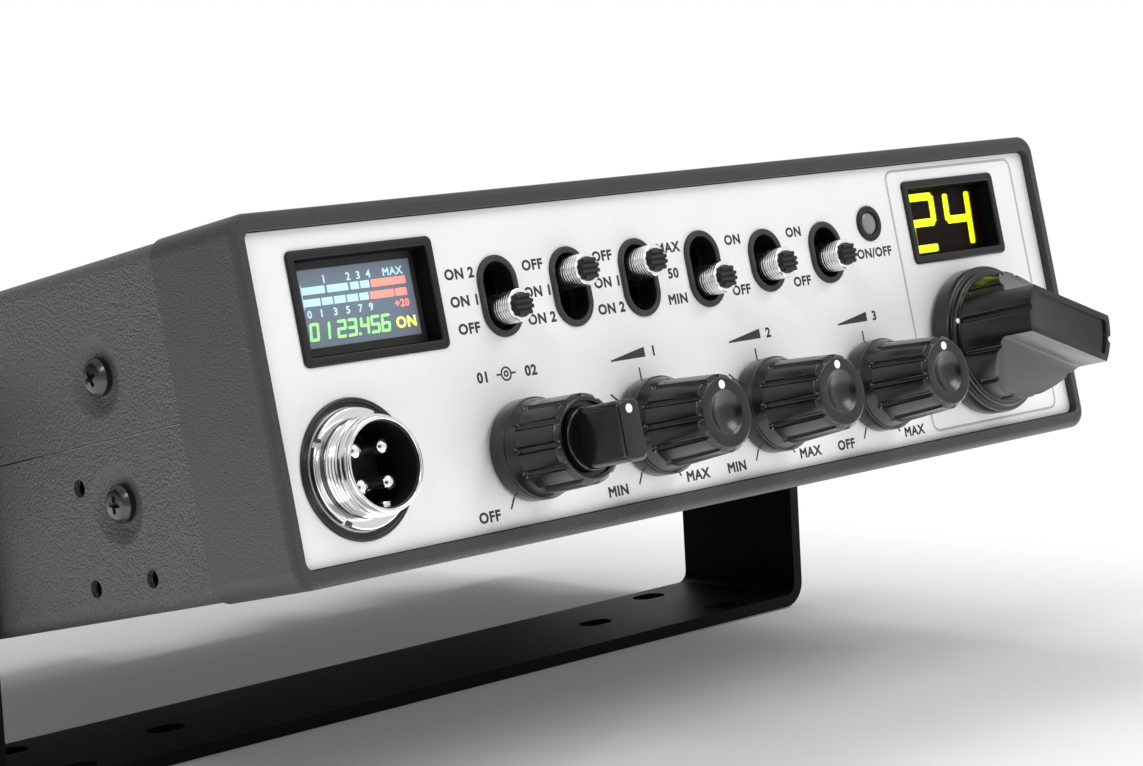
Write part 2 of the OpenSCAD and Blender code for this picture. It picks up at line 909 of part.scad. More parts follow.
module mic_socket_nut() {
    color(chrome)
        in_radio()
            on_panel(mic_x, mic_z)
                difference() {
                    cylinder(r = mic_nut_r, h = mic_nut_t);
                    translate([0, 0, -1])
                        cylinder(r = mic_neck_r + hold_gap, h = mic_nut_t + 2);
                    for (i = [0 : 3])
                        rotate([0, 0, 25 + 90 * i])
                            translate([mic_nut_r - 0.6, -0.7, mic_nut_t - 1])
                                cube([1, 1.4, 2]);
                }
}

module mic_socket_shell() {
    color(chrome)
        in_radio()
            translate([mic_x, 0, mic_z])
                rotate([90, 0, 0])
                    difference() {
                        union() {
                            translate([0, 0, -mic_shell_back])
                                cylinder(r = mic_neck_r, h = mic_neck_len + eps);
                            translate([0, 0, mic_nut_t - panel_recess])
                                cylinder(r = mic_thread_r, h = mic_h - mic_nut_t);
                            translate([0, 0, -plate_back - 1.6])
                                cylinder(r = mic_flange_r, h = 1.6);
                        }
                        translate([0, 0, -mic_shell_back - 1])
                            cylinder(r = mic_bore_r, h = mic_shell_back + mic_h + 2);
                    }
}

module at_mic_pins() {
    for (i = [0 : 3])
        rotate([0, 0, 45 + 90 * i])
            translate([mic_pin_circle, 0, 0])
                children();
}

module mic_socket_insert() {
    color(black)
        in_radio()
            translate([mic_x, 0, mic_z])
                rotate([90, 0, 0])
                    difference() {
                        translate([0, 0, -mic_shell_back])
                            cylinder(r = mic_bore_r - hold_gap, h = mic_shell_back - mic_insert_front);
                        at_mic_pins()
                            translate([0, 0, -mic_shell_back - 1])
                                cylinder(r = mic_pin_r + hold_gap, h = mic_shell_back + 2);
                    }
}

module mic_socket_pins() {
    color(chrome)
        in_radio()
            on_panel(mic_x, mic_z)
                at_mic_pins()
                    translate([0, 0, panel_recess - mic_shell_back - 3]) {
                        pin_len = mic_shell_back + 3 - panel_recess + mic_pin_tip;
                        cylinder(r = mic_pin_r, h = pin_len - mic_pin_r / 2);
                        translate([0, 0, pin_len - mic_pin_r / 2])
                            cylinder(r1 = mic_pin_r, r2 = mic_pin_r / 2, h = mic_pin_r / 2);
                    }
}

// Controls behind the panel, in the panel's frame
behind_plate = panel_recess - plate_back;

module rotary_body(r, inner) {
    bush_front = -panel_t - 0.1;
    difference() {
        union() {
            translate([0, 0, behind_plate - control_len])
                cylinder(r = r, h = control_len);
            translate([0, 0, behind_plate - eps])
                cylinder(r = bush_r, h = bush_front - behind_plate + eps);
        }
        translate([0, 0, panel_recess - shaft_back - 0.2])
            cylinder(r = shaft_r + run_gap, h = shaft_back + 2);
        if (inner)
            translate([0, 0, panel_recess - inner_shaft_back - 0.2])
                cylinder(r = inner_shaft_r + run_gap, h = inner_shaft_back + 2);
    }
}

module rotary_controls() {
    color(zinc)
        in_radio()
            for (i = [0 : 4])
                on_panel(knob_places[i][0], knob_places[i][1])
                    rotary_body(pot_r, i == 0);
}

module control_nuts() {
    color(brass)
        in_radio()
            for (p = knob_places)
                on_panel(p[0], p[1])
                    translate([0, 0, panel_recess - plate_front])
                        difference() {
                            cylinder(r = nut_r, h = nut_t, $fn = 6);
                            translate([0, 0, -1])
                                cylinder(r = bush_r + hold_gap, h = nut_t + 2);
                        }
}

function throw_of(i) = slot_is_long[i] ? long_throw : short_throw;

module switch_bodies() {
    color(black)
        in_radio()
            for (i = [0 : 5]) {
                pocket_h = foot_h + 2 * throw_of(i) + 2 * pocket_spare;
                pocket_t = foot_t + 2 * foot_gap;
                on_panel(slot_x0 + i * slot_pitch, slot_z)
                    difference() {
                        translate([-switch_w / 2, -pocket_h / 2 - 1, behind_plate - control_len])
                            cube([switch_w, pocket_h + 2, control_len]);
                        translate([-foot_w / 2 - foot_gap, -pocket_h / 2, behind_plate - pocket_t])
                            cube([foot_w + 2 * foot_gap, pocket_h, pocket_t + 1]);
                    }
            }
}

// One switch lever: a chrome barrel on a foot that slides behind the plate
module lever(i) {
    foot_back = behind_plate - foot_gap - foot_t;
    barrel_front = lever_h - tip_l;
    color(chrome)
        in_radio()
            on_panel(slot_x0 + i * slot_pitch, slot_z + lever_rest[i] * throw_of(i))
                difference() {
                    union() {
                        translate([0, 0, foot_back + foot_t - eps])
                            cylinder(r = lever_r, h = barrel_front - foot_back - foot_t + eps);
                        translate([-foot_w / 2, -foot_h / 2, foot_back])
                            cube([foot_w, foot_h, foot_t]);
                    }
                    translate([0, 0, barrel_front - tip_l])
                        cylinder(r = tip_r + hold_gap, h = tip_l + 1);
                }
}

tip_r = 0.73 * lever_r;

// One lever's black tip, with level ribs on its face
module lever_tip(i) {
    ribs = 5;
    rib_pitch = 2 * tip_r / ribs;
    color(black)
        in_radio()
            on_panel(slot_x0 + i * slot_pitch, slot_z + lever_rest[i] * throw_of(i))
                difference() {
                    translate([0, 0, lever_h - 2 * tip_l])
                        cylinder(r = tip_r, h = 2 * tip_l);
                    for (k = [1 : ribs - 1])
                        translate([-tip_r - 1, -tip_r + k * rib_pitch - rib_pitch / 4, lever_h - tip_l / 2])
                            cube([2 * tip_r + 2, rib_pitch / 2, tip_l]);
                }
}

// Knobs, in the panel's frame: a skirt, a cone and a tapered body with grooves open to the front
edge_r = 0.8;
groove_r = 0.65;

module knob_body(h, back_r, front_r) {
    body_z = skirt_h + shoulder_l;
    difference() {
        rotate_extrude()
            polygon([[0, knob_lift], [skirt_r, knob_lift], [skirt_r, skirt_h], [back_r, body_z],
                [front_r, h - edge_r], [front_r - edge_r, h], [0, h]]);
        grooves(back_r, front_r, body_z - shoulder_l / 4, h + 1, knob_grooves, groove_r);
    }
}

module gain_knob(x) {
    dish_r = 3.8;
    dish_depth = 1.2;
    dish_sphere = (dish_r * dish_r + dish_depth * dish_depth) / (2 * dish_depth);
    color(knob_grey)
        in_radio()
            on_panel(x, knob_z)
                difference() {
                    knob_body(gain_knob_h, gain_r, gain_front_r);
                    cylinder(r = shaft_r + hold_gap, h = gain_knob_h - knob_floor - 3);
                    translate([0, 0, gain_knob_h + dish_sphere - dish_depth])
                        sphere(dish_sphere);
                }
}

module shaft_to(x, z, r, back, front) {
    on_panel(x, z)
        translate([0, 0, panel_recess - back])
            cylinder(r = r, h = back - panel_recess + front);
}

module gain_shaft(x) {
    color(zinc)
        in_radio()
            shaft_to(x, knob_z, shaft_r, shaft_back, gain_knob_h - knob_floor - 3);
}

module mic_gain_knob() { gain_knob(mic_gain_x); }
module mic_gain_shaft() { gain_shaft(mic_gain_x); }
module rf_gain_knob() { gain_knob(rf_gain_x); }
module rf_gain_shaft() { gain_shaft(rf_gain_x); }
module talkback_knob() { gain_knob(talkback_x); }
module talkback_shaft() { gain_shaft(talkback_x); }

well_r = volume_front_r - 1.3;
squelch_gap = 0.4;
squelch_disc_r = well_r - 2 * squelch_gap;
well_depth = 1.2;
tube_front = volume_knob_h - well_depth - knob_floor;

module volume_knob() {
    color(knob_grey)
        in_radio()
            on_panel(volume_x, knob_z)
                difference() {
                    knob_body(volume_knob_h, volume_r, volume_front_r);
                    cylinder(r = shaft_r + hold_gap, h = tube_front);
                    cylinder(r = inner_shaft_r + 0.3, h = volume_knob_h + 1);
                    translate([0, 0, volume_knob_h - well_depth])
                        cylinder(r = well_r, h = well_depth + 1);
                }
}

module volume_shaft() {
    color(zinc)
        in_radio()
            difference() {
                shaft_to(volume_x, knob_z, shaft_r, shaft_back, tube_front);
                shaft_to(volume_x, knob_z, inner_shaft_r + run_gap, shaft_back + 1, tube_front + 1);
            }
}

module squelch_knob() {
    disc_z = volume_knob_h - well_depth + squelch_gap;
    wing_z = volume_knob_h + squelch_gap;
    color(knob_grey)
        in_radio()
            on_panel(volume_x, knob_z)
                difference() {
                    union() {
                        translate([0, 0, disc_z])
                            cylinder(r = squelch_disc_r, h = wing_z - disc_z + eps);
                        translate([0, 0, wing_z])
                            linear_extrude(squelch_knob_h - wing_z)
                                rounded_box(wing_w, wing_l, 1);
                    }
                    cylinder(r = inner_shaft_r + hold_gap, h = squelch_knob_h - knob_floor - 2);
                }
}

module squelch_shaft() {
    color(zinc)
        in_radio()
            shaft_to(volume_x, knob_z, inner_shaft_r, inner_shaft_back, squelch_knob_h - knob_floor - 2);
}

// Channel knob: a skirt, a collar and a grooved barrel, cut away on a slant on both sides of its bar
channel_step_z = 4.4;
collar_z = 5.5;
collar_w = 0.9;
channel_bore_end = channel_h - 8;
cut_root_z = 15.5;
cut_rim_z = 8.5;
bar_rim = 1.2;

module channel_knob() {
    barrel_r = bar_l / 2;
    color(knob_grey)
        in_radio()
            on_panel(channel_x, channel_z)
                rotate([0, 0, -bar_turn])
                    difference() {
                        union() {
                            translate([0, 0, knob_lift])
                                cylinder(r = channel_r, h = channel_step_z - knob_lift);
                            translate([0, 0, channel_step_z - eps])
                                cylinder(r = barrel_r + collar_w, h = collar_z - channel_step_z + eps);
                            translate([0, 0, collar_z - eps])
                                cylinder(r = barrel_r, h = channel_h - collar_z + eps);
                        }
                        grooves(barrel_r, barrel_r, collar_z + edge_r, channel_h + 1, knob_grooves, groove_r);
                        for (turn = [0, 180])
                            rotate([0, 0, turn])
                                translate([-channel_r, 0, 0])
                                    rotate([90, 0, 90])
                                        linear_extrude(2 * channel_r)
                                            polygon([[bar_w / 2, channel_h + 1], [bar_w / 2, cut_root_z],
                                                [barrel_r, cut_rim_z], [2 * barrel_r, cut_rim_z],
                                                [2 * barrel_r, channel_h + 1]]);
                        translate([0, 0, channel_h - 0.6])
                            linear_extrude(1)
                                intersection() {
                                    circle(barrel_r - bar_rim);
                                    square([bar_l, bar_w - 2 * bar_rim], center = true);
                                }
                        cylinder(r = shaft_r + hold_gap, h = channel_bore_end);
                    }
}

module channel_shaft() {
    color(zinc)
        in_radio()
            shaft_to(channel_x, channel_z, shaft_r, shaft_back, channel_bore_end);
}

// Inside
module control_board() {
    color(board_green)
        in_radio()
            slab(board_front, board_front + board_t)
                translate([(slot_x0 - pot_r + channel_x + pot_r) / 2, 0])
                    square([channel_x - slot_x0 + 2 * pot_r, rail_h - 6], center = true);
}

module main_board() {
    color(board_green)
        in_radio()
            difference() {
                translate([-board_half_w, board_d0, board_z])
                    cube([2 * board_half_w, board_d1 - board_d0, board_t]);
                at_board_screws()
                    translate([0, 0, -board_t - 1])
                        cylinder(r = screw_hole_r, h = board_t + 2);
            }
}

// Tuning cans, capacitors and chips on the main board: sizes, first places and pitches
can_w = 9;
can_h = 11;
can_x0 = -70;
can_d = 18;
can_pitch = 16;
cap_r = 5.5;
cap_h = 14;
cap_x0 = 30;
cap_d = 70;
cap_pitch = 14;
chip_w = 22;
chip_l = 9;
chip_h = 3.5;
chip_x0 = -72;
chip_d = 55;
chip_pitch = 34;

module board_components() {
    color(silver)
        in_radio()
            translate([0, board_d0, board_z + board_t]) {
                for (i = [0 : 5])
                    translate([can_x0 + i * can_pitch, can_d, 0])
                        cube([can_w, can_w, can_h]);
                for (i = [0 : 3])
                    translate([cap_x0 + i * cap_pitch, cap_d, 0])
                        cylinder(r = cap_r, h = cap_h);
                for (i = [0 : 2])
                    translate([chip_x0 + i * chip_pitch, chip_d, 0])
                        cube([chip_w, chip_l, chip_h]);
            }
}

// Loudspeaker: magnet, basket and cone
magnet_r = 0.5 * speaker_r;
magnet_h = 8;
basket_h = 12;
basket_t = 1.2;
basket_rim_w = 4;
basket_rim_t = 1.4;
cone_t = 0.6;
cone_h = 10;
cone_lift = 0.2;
cone_hub_inset = 4;
cone_hub_r = magnet_r - cone_hub_inset;
cone_edge_r = speaker_r - basket_rim_w - hold_gap;

module speaker_basket() {
    color(zinc)
        in_radio()
            translate([0, speaker_d, floor_z])
                rotate_extrude()
                    polygon([[speaker_r - basket_rim_w, 0], [speaker_r, 0], [speaker_r, basket_rim_t],
                        [speaker_r - basket_rim_w / 2, basket_rim_t], [magnet_r + basket_t, basket_h],
                        [magnet_r, basket_h], [magnet_r, basket_h + magnet_h], [0, basket_h + magnet_h],
                        [0, basket_h - basket_t], [magnet_r, basket_h - basket_t],
                        [speaker_r - basket_rim_w, basket_rim_t]]);
}

module speaker_cone() {
    color(black)
        in_radio()
            translate([0, speaker_d, floor_z])
                rotate_extrude()
                    polygon([[cone_edge_r, cone_lift], [cone_edge_r, cone_lift + cone_t],
                        [cone_hub_r, cone_h], [0, cone_h], [0, cone_h - cone_t],
                        [cone_hub_r - cone_t, cone_h - cone_t], [cone_edge_r - 5 * cone_t, cone_lift]]);
}

// Rear sockets
module aerial_socket() {
    color(chrome)
        in_radio()
            difference() {
                on_rear(aerial_x, 0) {
                    translate([-aerial_flange / 2, -aerial_flange / 2, 0])
                        cube([aerial_flange, aerial_flange, aerial_flange_t]);
                    translate([0, 0, -aerial_stub])
                        cylinder(r = aerial_stub_r, h = aerial_stub + eps);
                    cylinder(r = aerial_r, h = aerial_len);
                }
                on_rear(aerial_x, 0)
                    translate([0, 0, -aerial_stub - 1])
                        cylinder(r = aerial_bore_r, h = aerial_stub + aerial_len + 2);
                at_aerial_screws()
                    translate([0, 0, -aerial_flange_t - 1])
                        cylinder(r = screw_hole_r, h = aerial_flange_t + 2);
            }
}

contact_r = 2.9;
contact_bore_r = 2;

module aerial_insulator() {
    color([0.92, 0.92, 0.90])
        in_radio()
            on_rear(aerial_x, 0)
                difference() {
                    translate([0, 0, -aerial_stub])
                        cylinder(r = aerial_bore_r - hold_gap, h = aerial_stub + aerial_len - 5);
                    translate([0, 0, -aerial_stub - 1])
                        cylinder(r = contact_r + hold_gap, h = aerial_stub + aerial_len);
                }
}

power_pin_x = power_w / 4;
power_pin_y = power_h / 6;
power_pins = [[-power_pin_x, power_pin_y], [power_pin_x, power_pin_y], [0, -power_pin_y]];
power_pin_r = 1;
contact_tail = 4;

module power_inlet() {
    color(black)
        in_radio()
            on_rear(power_x, 0)
                difference() {
                    translate([-power_w / 2, -power_h / 2, -power_in])
                        cube([power_w, power_h, power_in + power_out]);
                    translate([-power_w / 2 + power_wall, -power_h / 2 + power_wall, -rear_t])
                        cube([power_w - 2 * power_wall, power_h - 2 * power_wall, rear_t + power_out + 1]);
                    for (p = power_pins)
                        translate([p[0], p[1], -power_in - 1])
                            cylinder(r = power_pin_r + hold_gap, h = power_in + 2);
                }
}

// Contact tube of the aerial socket and pins of the power inlet
module rear_contacts() {
    color(brass)
        in_radio() {
            on_rear(aerial_x, 0)
                difference() {
                    translate([0, 0, -aerial_stub - contact_tail])
                        cylinder(r = contact_r, h = aerial_stub + contact_tail + 0.74 * aerial_len);
                    cylinder(r = contact_bore_r, h = aerial_len);
                }
            on_rear(power_x, 0)
                for (p = power_pins)
                    translate([p[0], p[1], -power_in - contact_tail])
                        cylinder(r = power_pin_r, h = contact_tail + power_in + power_out / 3);
        }
}

jack_body_w = 11;
jack_body_len = 13;
jack_end_t = 2;

module speaker_jacks() {
    color(black)
        in_radio()
            for (t = [-1, 1])
                on_rear(jack_x, t * jack_z)
                    difference() {
                        union() {
                            translate([0, 0, -rear_t - eps])
                                cylinder(r = jack_r, h = rear_t + jack_out + eps);
                            translate([-jack_body_w / 2, -jack_body_w / 2, -rear_t - jack_body_len])
                                cube([jack_body_w, jack_body_w, jack_body_len]);
                        }
                        translate([0, 0, -rear_t - jack_body_len + jack_end_t])
                            cylinder(r = jack_bore_r, h = rear_t + jack_out + jack_body_len);
                    }
}

// Pivot
module pivot_washers() {
    color(black)
        in_radio()
            for (s = [-1, 1])
                translate([s * cover_half_w, pivot_depth, 0])
                    rotate([0, s * 90, 0])
                        difference() {
                            cylinder(r = washer_r, h = washer_t);
                            translate([0, 0, -1])
                                cylinder(r = leg_hole_r, h = washer_t + 2);
                        }
}

// Thumbscrew: stud, collar and scalloped head; s is 1 on the right
module thumbscrew(s) {
    collar_r = 6;
    collar_t = 2.5;
    scallops = 10;
    stud_in = leg_out + thumb_gap - rail_in + boss_len - 1;
    color(black)
        in_radio()
            translate([s * (leg_out + thumb_gap), pivot_depth, 0])
                rotate([0, s * 90, 0])
                    difference() {
                        union() {
                            translate([0, 0, -stud_in])
                                cylinder(r = stud_r, h = stud_in + eps);
                            cylinder(r = collar_r, h = collar_t + eps);
                            translate([0, 0, collar_t])
                                cylinder(r = thumb_r, h = thumb_t);
                        }
                        for (i = [0 : scallops - 1])
                            rotate([0, 0, 360 * i / scallops])
                                translate([thumb_r + 1.2, 0, collar_t - 1])
                                    cylinder(r = 2.2, h = thumb_t + 2);
                    }
}

module thumbscrew_left() { thumbscrew(-1); }
module thumbscrew_right() { thumbscrew(1); }

mounting_bracket();
front_bezel();
front_panel();
top_cover();
bottom_cover();
chassis_frame();
rear_panel();
machine_screws();
lcd_frame();
lcd_module();
channel_window_frame();
channel_display();
display_windows();
panel_trims();
lamp_lens();
mic_socket_ring();
mic_socket_nut();
mic_socket_shell();
mic_socket_insert();
mic_socket_pins();
rotary_controls();
control_nuts();
switch_bodies();
control_board();
main_board();
board_components();
speaker_basket();
speaker_cone();
aerial_socket();
aerial_insulator();
power_inlet();
rear_contacts();
speaker_jacks();
pivot_washers();
volume_knob();
volume_shaft();
squelch_knob();
squelch_shaft();
mic_gain_knob();
mic_gain_shaft();
rf_gain_knob();
rf_gain_shaft();
talkback_knob();
talkback_shaft();
channel_knob();
channel_shaft();
lever(0);  // lever_1
lever(1);  // lever_2
lever(2);  // lever_3
lever(3);  // lever_4
lever(4);  // lever_5
lever(5);  // lever_6
lever_tip(0);  // lever_tip_1
lever_tip(1);  // lever_tip_2
lever_tip(2);  // lever_tip_3
lever_tip(3);  // lever_tip_4
lever_tip(4);  // lever_tip_5
lever_tip(5);  // lever_tip_6
thumbscrew_left();
thumbscrew_right();
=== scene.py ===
"""Looks of a mobile two-way radio on a tilting stand.

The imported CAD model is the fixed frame. Each class below dresses one sub-assembly: it builds fine meshes in
millimetres in the front panel's own frame, or rounds the edges of copies of CAD nodes, and lets every piece
ride on the CAD body that carries it.
"""

import json
import logging
import math
from dataclasses import dataclass, field
from enum import Enum
from typing import Callable, Iterable, Sequence

import bmesh
import bpy
import numpy as np
from mathutils import Matrix, Vector

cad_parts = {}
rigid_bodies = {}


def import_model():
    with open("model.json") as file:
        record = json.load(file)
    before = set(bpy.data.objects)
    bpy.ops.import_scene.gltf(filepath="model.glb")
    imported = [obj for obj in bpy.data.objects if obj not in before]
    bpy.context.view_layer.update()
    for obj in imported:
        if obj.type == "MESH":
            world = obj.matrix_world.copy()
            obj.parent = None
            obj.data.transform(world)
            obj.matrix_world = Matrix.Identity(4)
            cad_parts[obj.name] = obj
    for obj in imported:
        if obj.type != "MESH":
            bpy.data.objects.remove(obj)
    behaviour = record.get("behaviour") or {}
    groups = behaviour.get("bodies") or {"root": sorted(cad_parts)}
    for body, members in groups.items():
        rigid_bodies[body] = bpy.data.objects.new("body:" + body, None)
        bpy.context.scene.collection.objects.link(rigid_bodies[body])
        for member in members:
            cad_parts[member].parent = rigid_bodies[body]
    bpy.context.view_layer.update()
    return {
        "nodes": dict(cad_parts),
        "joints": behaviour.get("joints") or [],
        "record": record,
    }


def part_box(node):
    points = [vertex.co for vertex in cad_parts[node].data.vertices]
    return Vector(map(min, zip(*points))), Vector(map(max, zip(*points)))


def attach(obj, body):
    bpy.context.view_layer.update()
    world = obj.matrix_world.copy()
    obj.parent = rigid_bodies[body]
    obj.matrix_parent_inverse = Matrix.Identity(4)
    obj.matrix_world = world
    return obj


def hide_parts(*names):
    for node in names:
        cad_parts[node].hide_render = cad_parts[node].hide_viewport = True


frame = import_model()

MM = 0.001
LOG = logging.getLogger("radio")

Colour = tuple[float, float, float]
Point = tuple[float, float]
Loop = list[Point]


# Frames of reference


def shift(x: float, y: float, z: float) -> Matrix:
    """A move."""
    return Matrix.Translation((x, y, z))


def spin(turn: float) -> Matrix:
    """A counter-clockwise turn about z, in degrees."""
    return Matrix.Rotation(math.radians(turn), 4, "Z")


class PanelFrame:
    """The front panel's own frame: x to the right, y up the panel, z out of it, in millimetres."""

    panel_t: float = 1.0

    def __init__(self) -> None:
        """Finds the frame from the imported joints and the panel's node."""
        joints = {joint["name"]: joint for joint in frame["joints"]}
        self.out = -Vector(joints["volume_turn"]["axis"]).normalized()
        self.up = Vector(joints["switch_1_slide"]["axis"]).normalized()
        self.right = self.up.cross(self.out)
        low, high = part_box("front_panel")
        self.face = (low + high) / 2 + self.out * (self.panel_t / 2 * MM)
        self.joints = joints

    def matrix(self) -> Matrix:
        """The matrix from panel millimetres to the shared frame's metres.

        Returns:
            A matrix for meshes in millimetres.
        """
        axes = Matrix((self.right * MM, self.up * MM, self.out * MM)).transposed().to_4x4()
        axes.translation = self.face
        return axes

    def box(self, node: str) -> tuple[np.ndarray, np.ndarray]:
        """Measures a CAD node in the panel's frame.

        Args:
            node: the CAD node's name.
        Returns:
            Its lowest and highest corners in panel millimetres.
        """
        inverse = self.matrix().inverted()
        points = np.array([inverse @ v.co for v in frame["nodes"][node].data.vertices])
        return points.min(0), points.max(0)

    def centre(self, node: str) -> Vector:
        """A CAD node's middle in panel millimetres."""
        low, high = self.box(node)
        return Vector((low + high) / 2)

    def axis_point(self, joint: str) -> Vector:
        """The point of a joint's axis, in panel millimetres."""
        return self.matrix().inverted() @ Vector(self.joints[joint]["pos_m"])


PANEL = PanelFrame()
ON_PANEL = PANEL.matrix()


def at(x: float, y: float, z: float = 0.0, turn: float = 0.0) -> Matrix:
    """A place in the panel's frame.

    Args:
        x: to the right, in millimetres.
        y: up the panel.
        z: out of the panel.
        turn: counter-clockwise turn about the panel's normal, in degrees.
    Returns:
        The matrix from local millimetres to the shared frame.
    """
    return ON_PANEL @ shift(x, y, z) @ spin(turn)


# Finishes


class Nodes:
    """A short way to write a node tree."""

    def __init__(self, tree: bpy.types.NodeTree) -> None:
        """Starts with an empty tree."""
        self.tree = tree
        tree.nodes.clear()

    def add(self, kind: str, settings: dict | None = None, **inputs: object) -> bpy.types.Node:
        """Adds a node.

        Args:
            kind: the node's type name.
            settings: properties of the node itself.
            inputs: values or sockets for its inputs, with underscores for spaces.
        Returns:
            The new node.
        """
        node = self.tree.nodes.new(kind)
        for key, value in (settings or {}).items():
            setattr(node, key, value)
        for key, value in inputs.items():
            self.feed(node.inputs[key.replace("_", " ")], value)
        return node

    def feed(self, socket: bpy.types.NodeSocket, value: object) -> None:
        """Links a socket to an input, or sets the input's own value.

        Args:
            socket: the input.
            value: an output to link, or a plain value.
        """
        if isinstance(value, bpy.types.NodeSocket):
            self.tree.links.new(value, socket)
        else:
            socket.default_value = value

    def math(self, operation: str, first: object, second: object = 0.0) -> bpy.types.NodeSocket:
        """Adds a Math node and returns its output.

        Args:
            operation: the node's operation.
            first: its first input.
            second: its second input.
        Returns:
            The node's output.
        """
        node = self.add("ShaderNodeMath", {"operation": operation})
        self.feed(node.inputs[0], first)
        self.feed(node.inputs[1], second)
        return node.outputs[0]


def tree_of(block: bpy.types.Material | bpy.types.World) -> Nodes:
    """Opens the empty node tree of a material or a world."""
    block.use_nodes = True
    return Nodes(block.node_tree)


def rgba(colour: Colour, gain: float = 1.0) -> tuple[float, float, float, float]:
    """A colour times a gain, with full alpha."""
    return (colour[0] * gain, colour[1] * gain, colour[2] * gain, 1.0)


@dataclass(frozen=True)
class Finish:
    """A surface finish with mottled colour, uneven gloss and a fine grain.

    Lengths are in millimetres: grain is the size of one grain, relief its height and cloud the size of the mottling.
    """

    name: str
    colour: Colour
    roughness: float
    grain: float = 0.4
    relief: float = 0.012
    mottle: float = 0.12
    metallic: float = 0.0
    coat: float = 0.0
    gloss_change: float = 0.08
    specular: float = 0.5
    cloud: float = 14.0
    cloud_share: float = 0.4
    stretch: tuple[float, float, float] = (1.0, 1.0, 1.0)

    def material(self) -> bpy.types.Material:
        """The finish's material, made once.

        Returns:
            The material.
        """
        known = bpy.data.materials.get(self.name)
        if known is not None:
            return known
        material = bpy.data.materials.new(self.name)
        material.diffuse_color = rgba(self.colour)
        self.build(tree_of(material))
        return material

    def place(self, nodes: Nodes, size: float) -> bpy.types.NodeSocket:
        """Object coordinates scaled so that one unit is a grain of the given size in millimetres.

        Args:
            nodes: the material's tree.
            size: the grain's size.
        Returns:
            The scaled coordinates.
        """
        where = nodes.add("ShaderNodeTexCoord")
        scale = Vector(self.stretch) / (size * MM)
        mapping = nodes.add("ShaderNodeMapping", Vector=where.outputs["Object"], Scale=scale)
        return mapping.outputs["Vector"]

    def height(self, nodes: Nodes) -> bpy.types.NodeSocket:
        """The grain's height pattern, from 0 to 1.

        Args:
            nodes: the material's tree.
        Returns:
            The pattern's socket.
        """
        where = self.place(nodes, self.grain)
        noise = nodes.add("ShaderNodeTexNoise", Vector=where, Scale=1.0, Detail=3.0, Roughness=0.55)
        return noise.outputs["Fac"]

    def shader(self, nodes: Nodes) -> bpy.types.Node:
        """Adds the principled shader with colour, gloss and relief from the patterns.

        Args:
            nodes: the material's tree.
        Returns:
            The shader node.
        """
        grain = self.height(nodes)
        cloud = nodes.add("ShaderNodeTexNoise", Vector=self.place(nodes, self.cloud), Scale=1.0, Detail=4.0)
        mottling = nodes.math("MULTIPLY", cloud.outputs["Fac"], self.cloud_share)
        mixed = nodes.math("ADD", nodes.math("MULTIPLY", grain, 1.0 - self.cloud_share), mottling)
        tint = nodes.add("ShaderNodeMix", {"data_type": "RGBA"})
        nodes.feed(tint.inputs["Factor"], mixed)
        nodes.feed(tint.inputs["A"], rgba(self.colour, 1.0 - self.mottle))
        nodes.feed(tint.inputs["B"], rgba(self.colour, 1.0 + self.mottle))
        gloss = nodes.add(
            "ShaderNodeMapRange",
            Value=mixed,
            To_Min=max(self.roughness - self.gloss_change, 0.02),
            To_Max=min(self.roughness + self.gloss_change, 1.0),
        )
        bump = nodes.add("ShaderNodeBump", Height=grain, Distance=self.relief * MM, Strength=1.0)
        return nodes.add(
            "ShaderNodeBsdfPrincipled",
            Base_Color=tint.outputs["Result"],
            Roughness=gloss.outputs["Result"],
            Metallic=self.metallic,
            Coat_Weight=self.coat,
            Specular_IOR_Level=self.specular,
            Normal=bump.outputs["Normal"],
        )

    def extra(self, nodes: Nodes) -> dict[str, object]:
        """Further inputs of the shader, by name: none on a plain finish."""
        return {}

    def build(self, nodes: Nodes) -> None:
        """Fills the material's tree.

        Args:
            nodes: the material's tree.
        """
        shader = self.shader(nodes)
        for key, value in self.extra(nodes).items():
            nodes.feed(shader.inputs[key], value)
        nodes.add("ShaderNodeOutputMaterial", Surface=shader.outputs["BSDF"])


@dataclass(frozen=True)
class WrinkleCoat(Finish):
    """A baked wrinkle coat: low rounded folds that run together."""

    bend: float = 0.9
    smoothness: float = 0.6
    fine_share: float = 0.25

    def height(self, nodes: Nodes) -> bpy.types.NodeSocket:
        """Folds from bent cells, broken up by a finer grain.

        Args:
            nodes: the material's tree.
        Returns:
            The pattern's socket.
        """
        where = self.place(nodes, self.grain)
        bend = nodes.add("ShaderNodeTexNoise", Vector=where, Scale=0.8, Detail=2.0)
        shift = nodes.add("ShaderNodeVectorMath", {"operation": "SCALE"}, Scale=self.bend)
        nodes.feed(shift.inputs[0], bend.outputs["Color"])
        moved = nodes.add("ShaderNodeVectorMath", {"operation": "ADD"})
        nodes.feed(moved.inputs[0], where)
        nodes.feed(moved.inputs[1], shift.outputs["Vector"])
        cells = nodes.add("ShaderNodeTexVoronoi", {"feature": "SMOOTH_F1"}, Vector=moved.outputs["Vector"], Scale=1.0,
                          Smoothness=self.smoothness)
        fine = nodes.add("ShaderNodeTexNoise", Vector=where, Scale=2.6, Detail=2.0)
        folds = nodes.math("MULTIPLY", nodes.math("SUBTRACT", 1.0, cells.outputs["Distance"]), 1.0 - self.fine_share)
        return nodes.math("ADD", folds, nodes.math("MULTIPLY", fine.outputs["Fac"], self.fine_share))


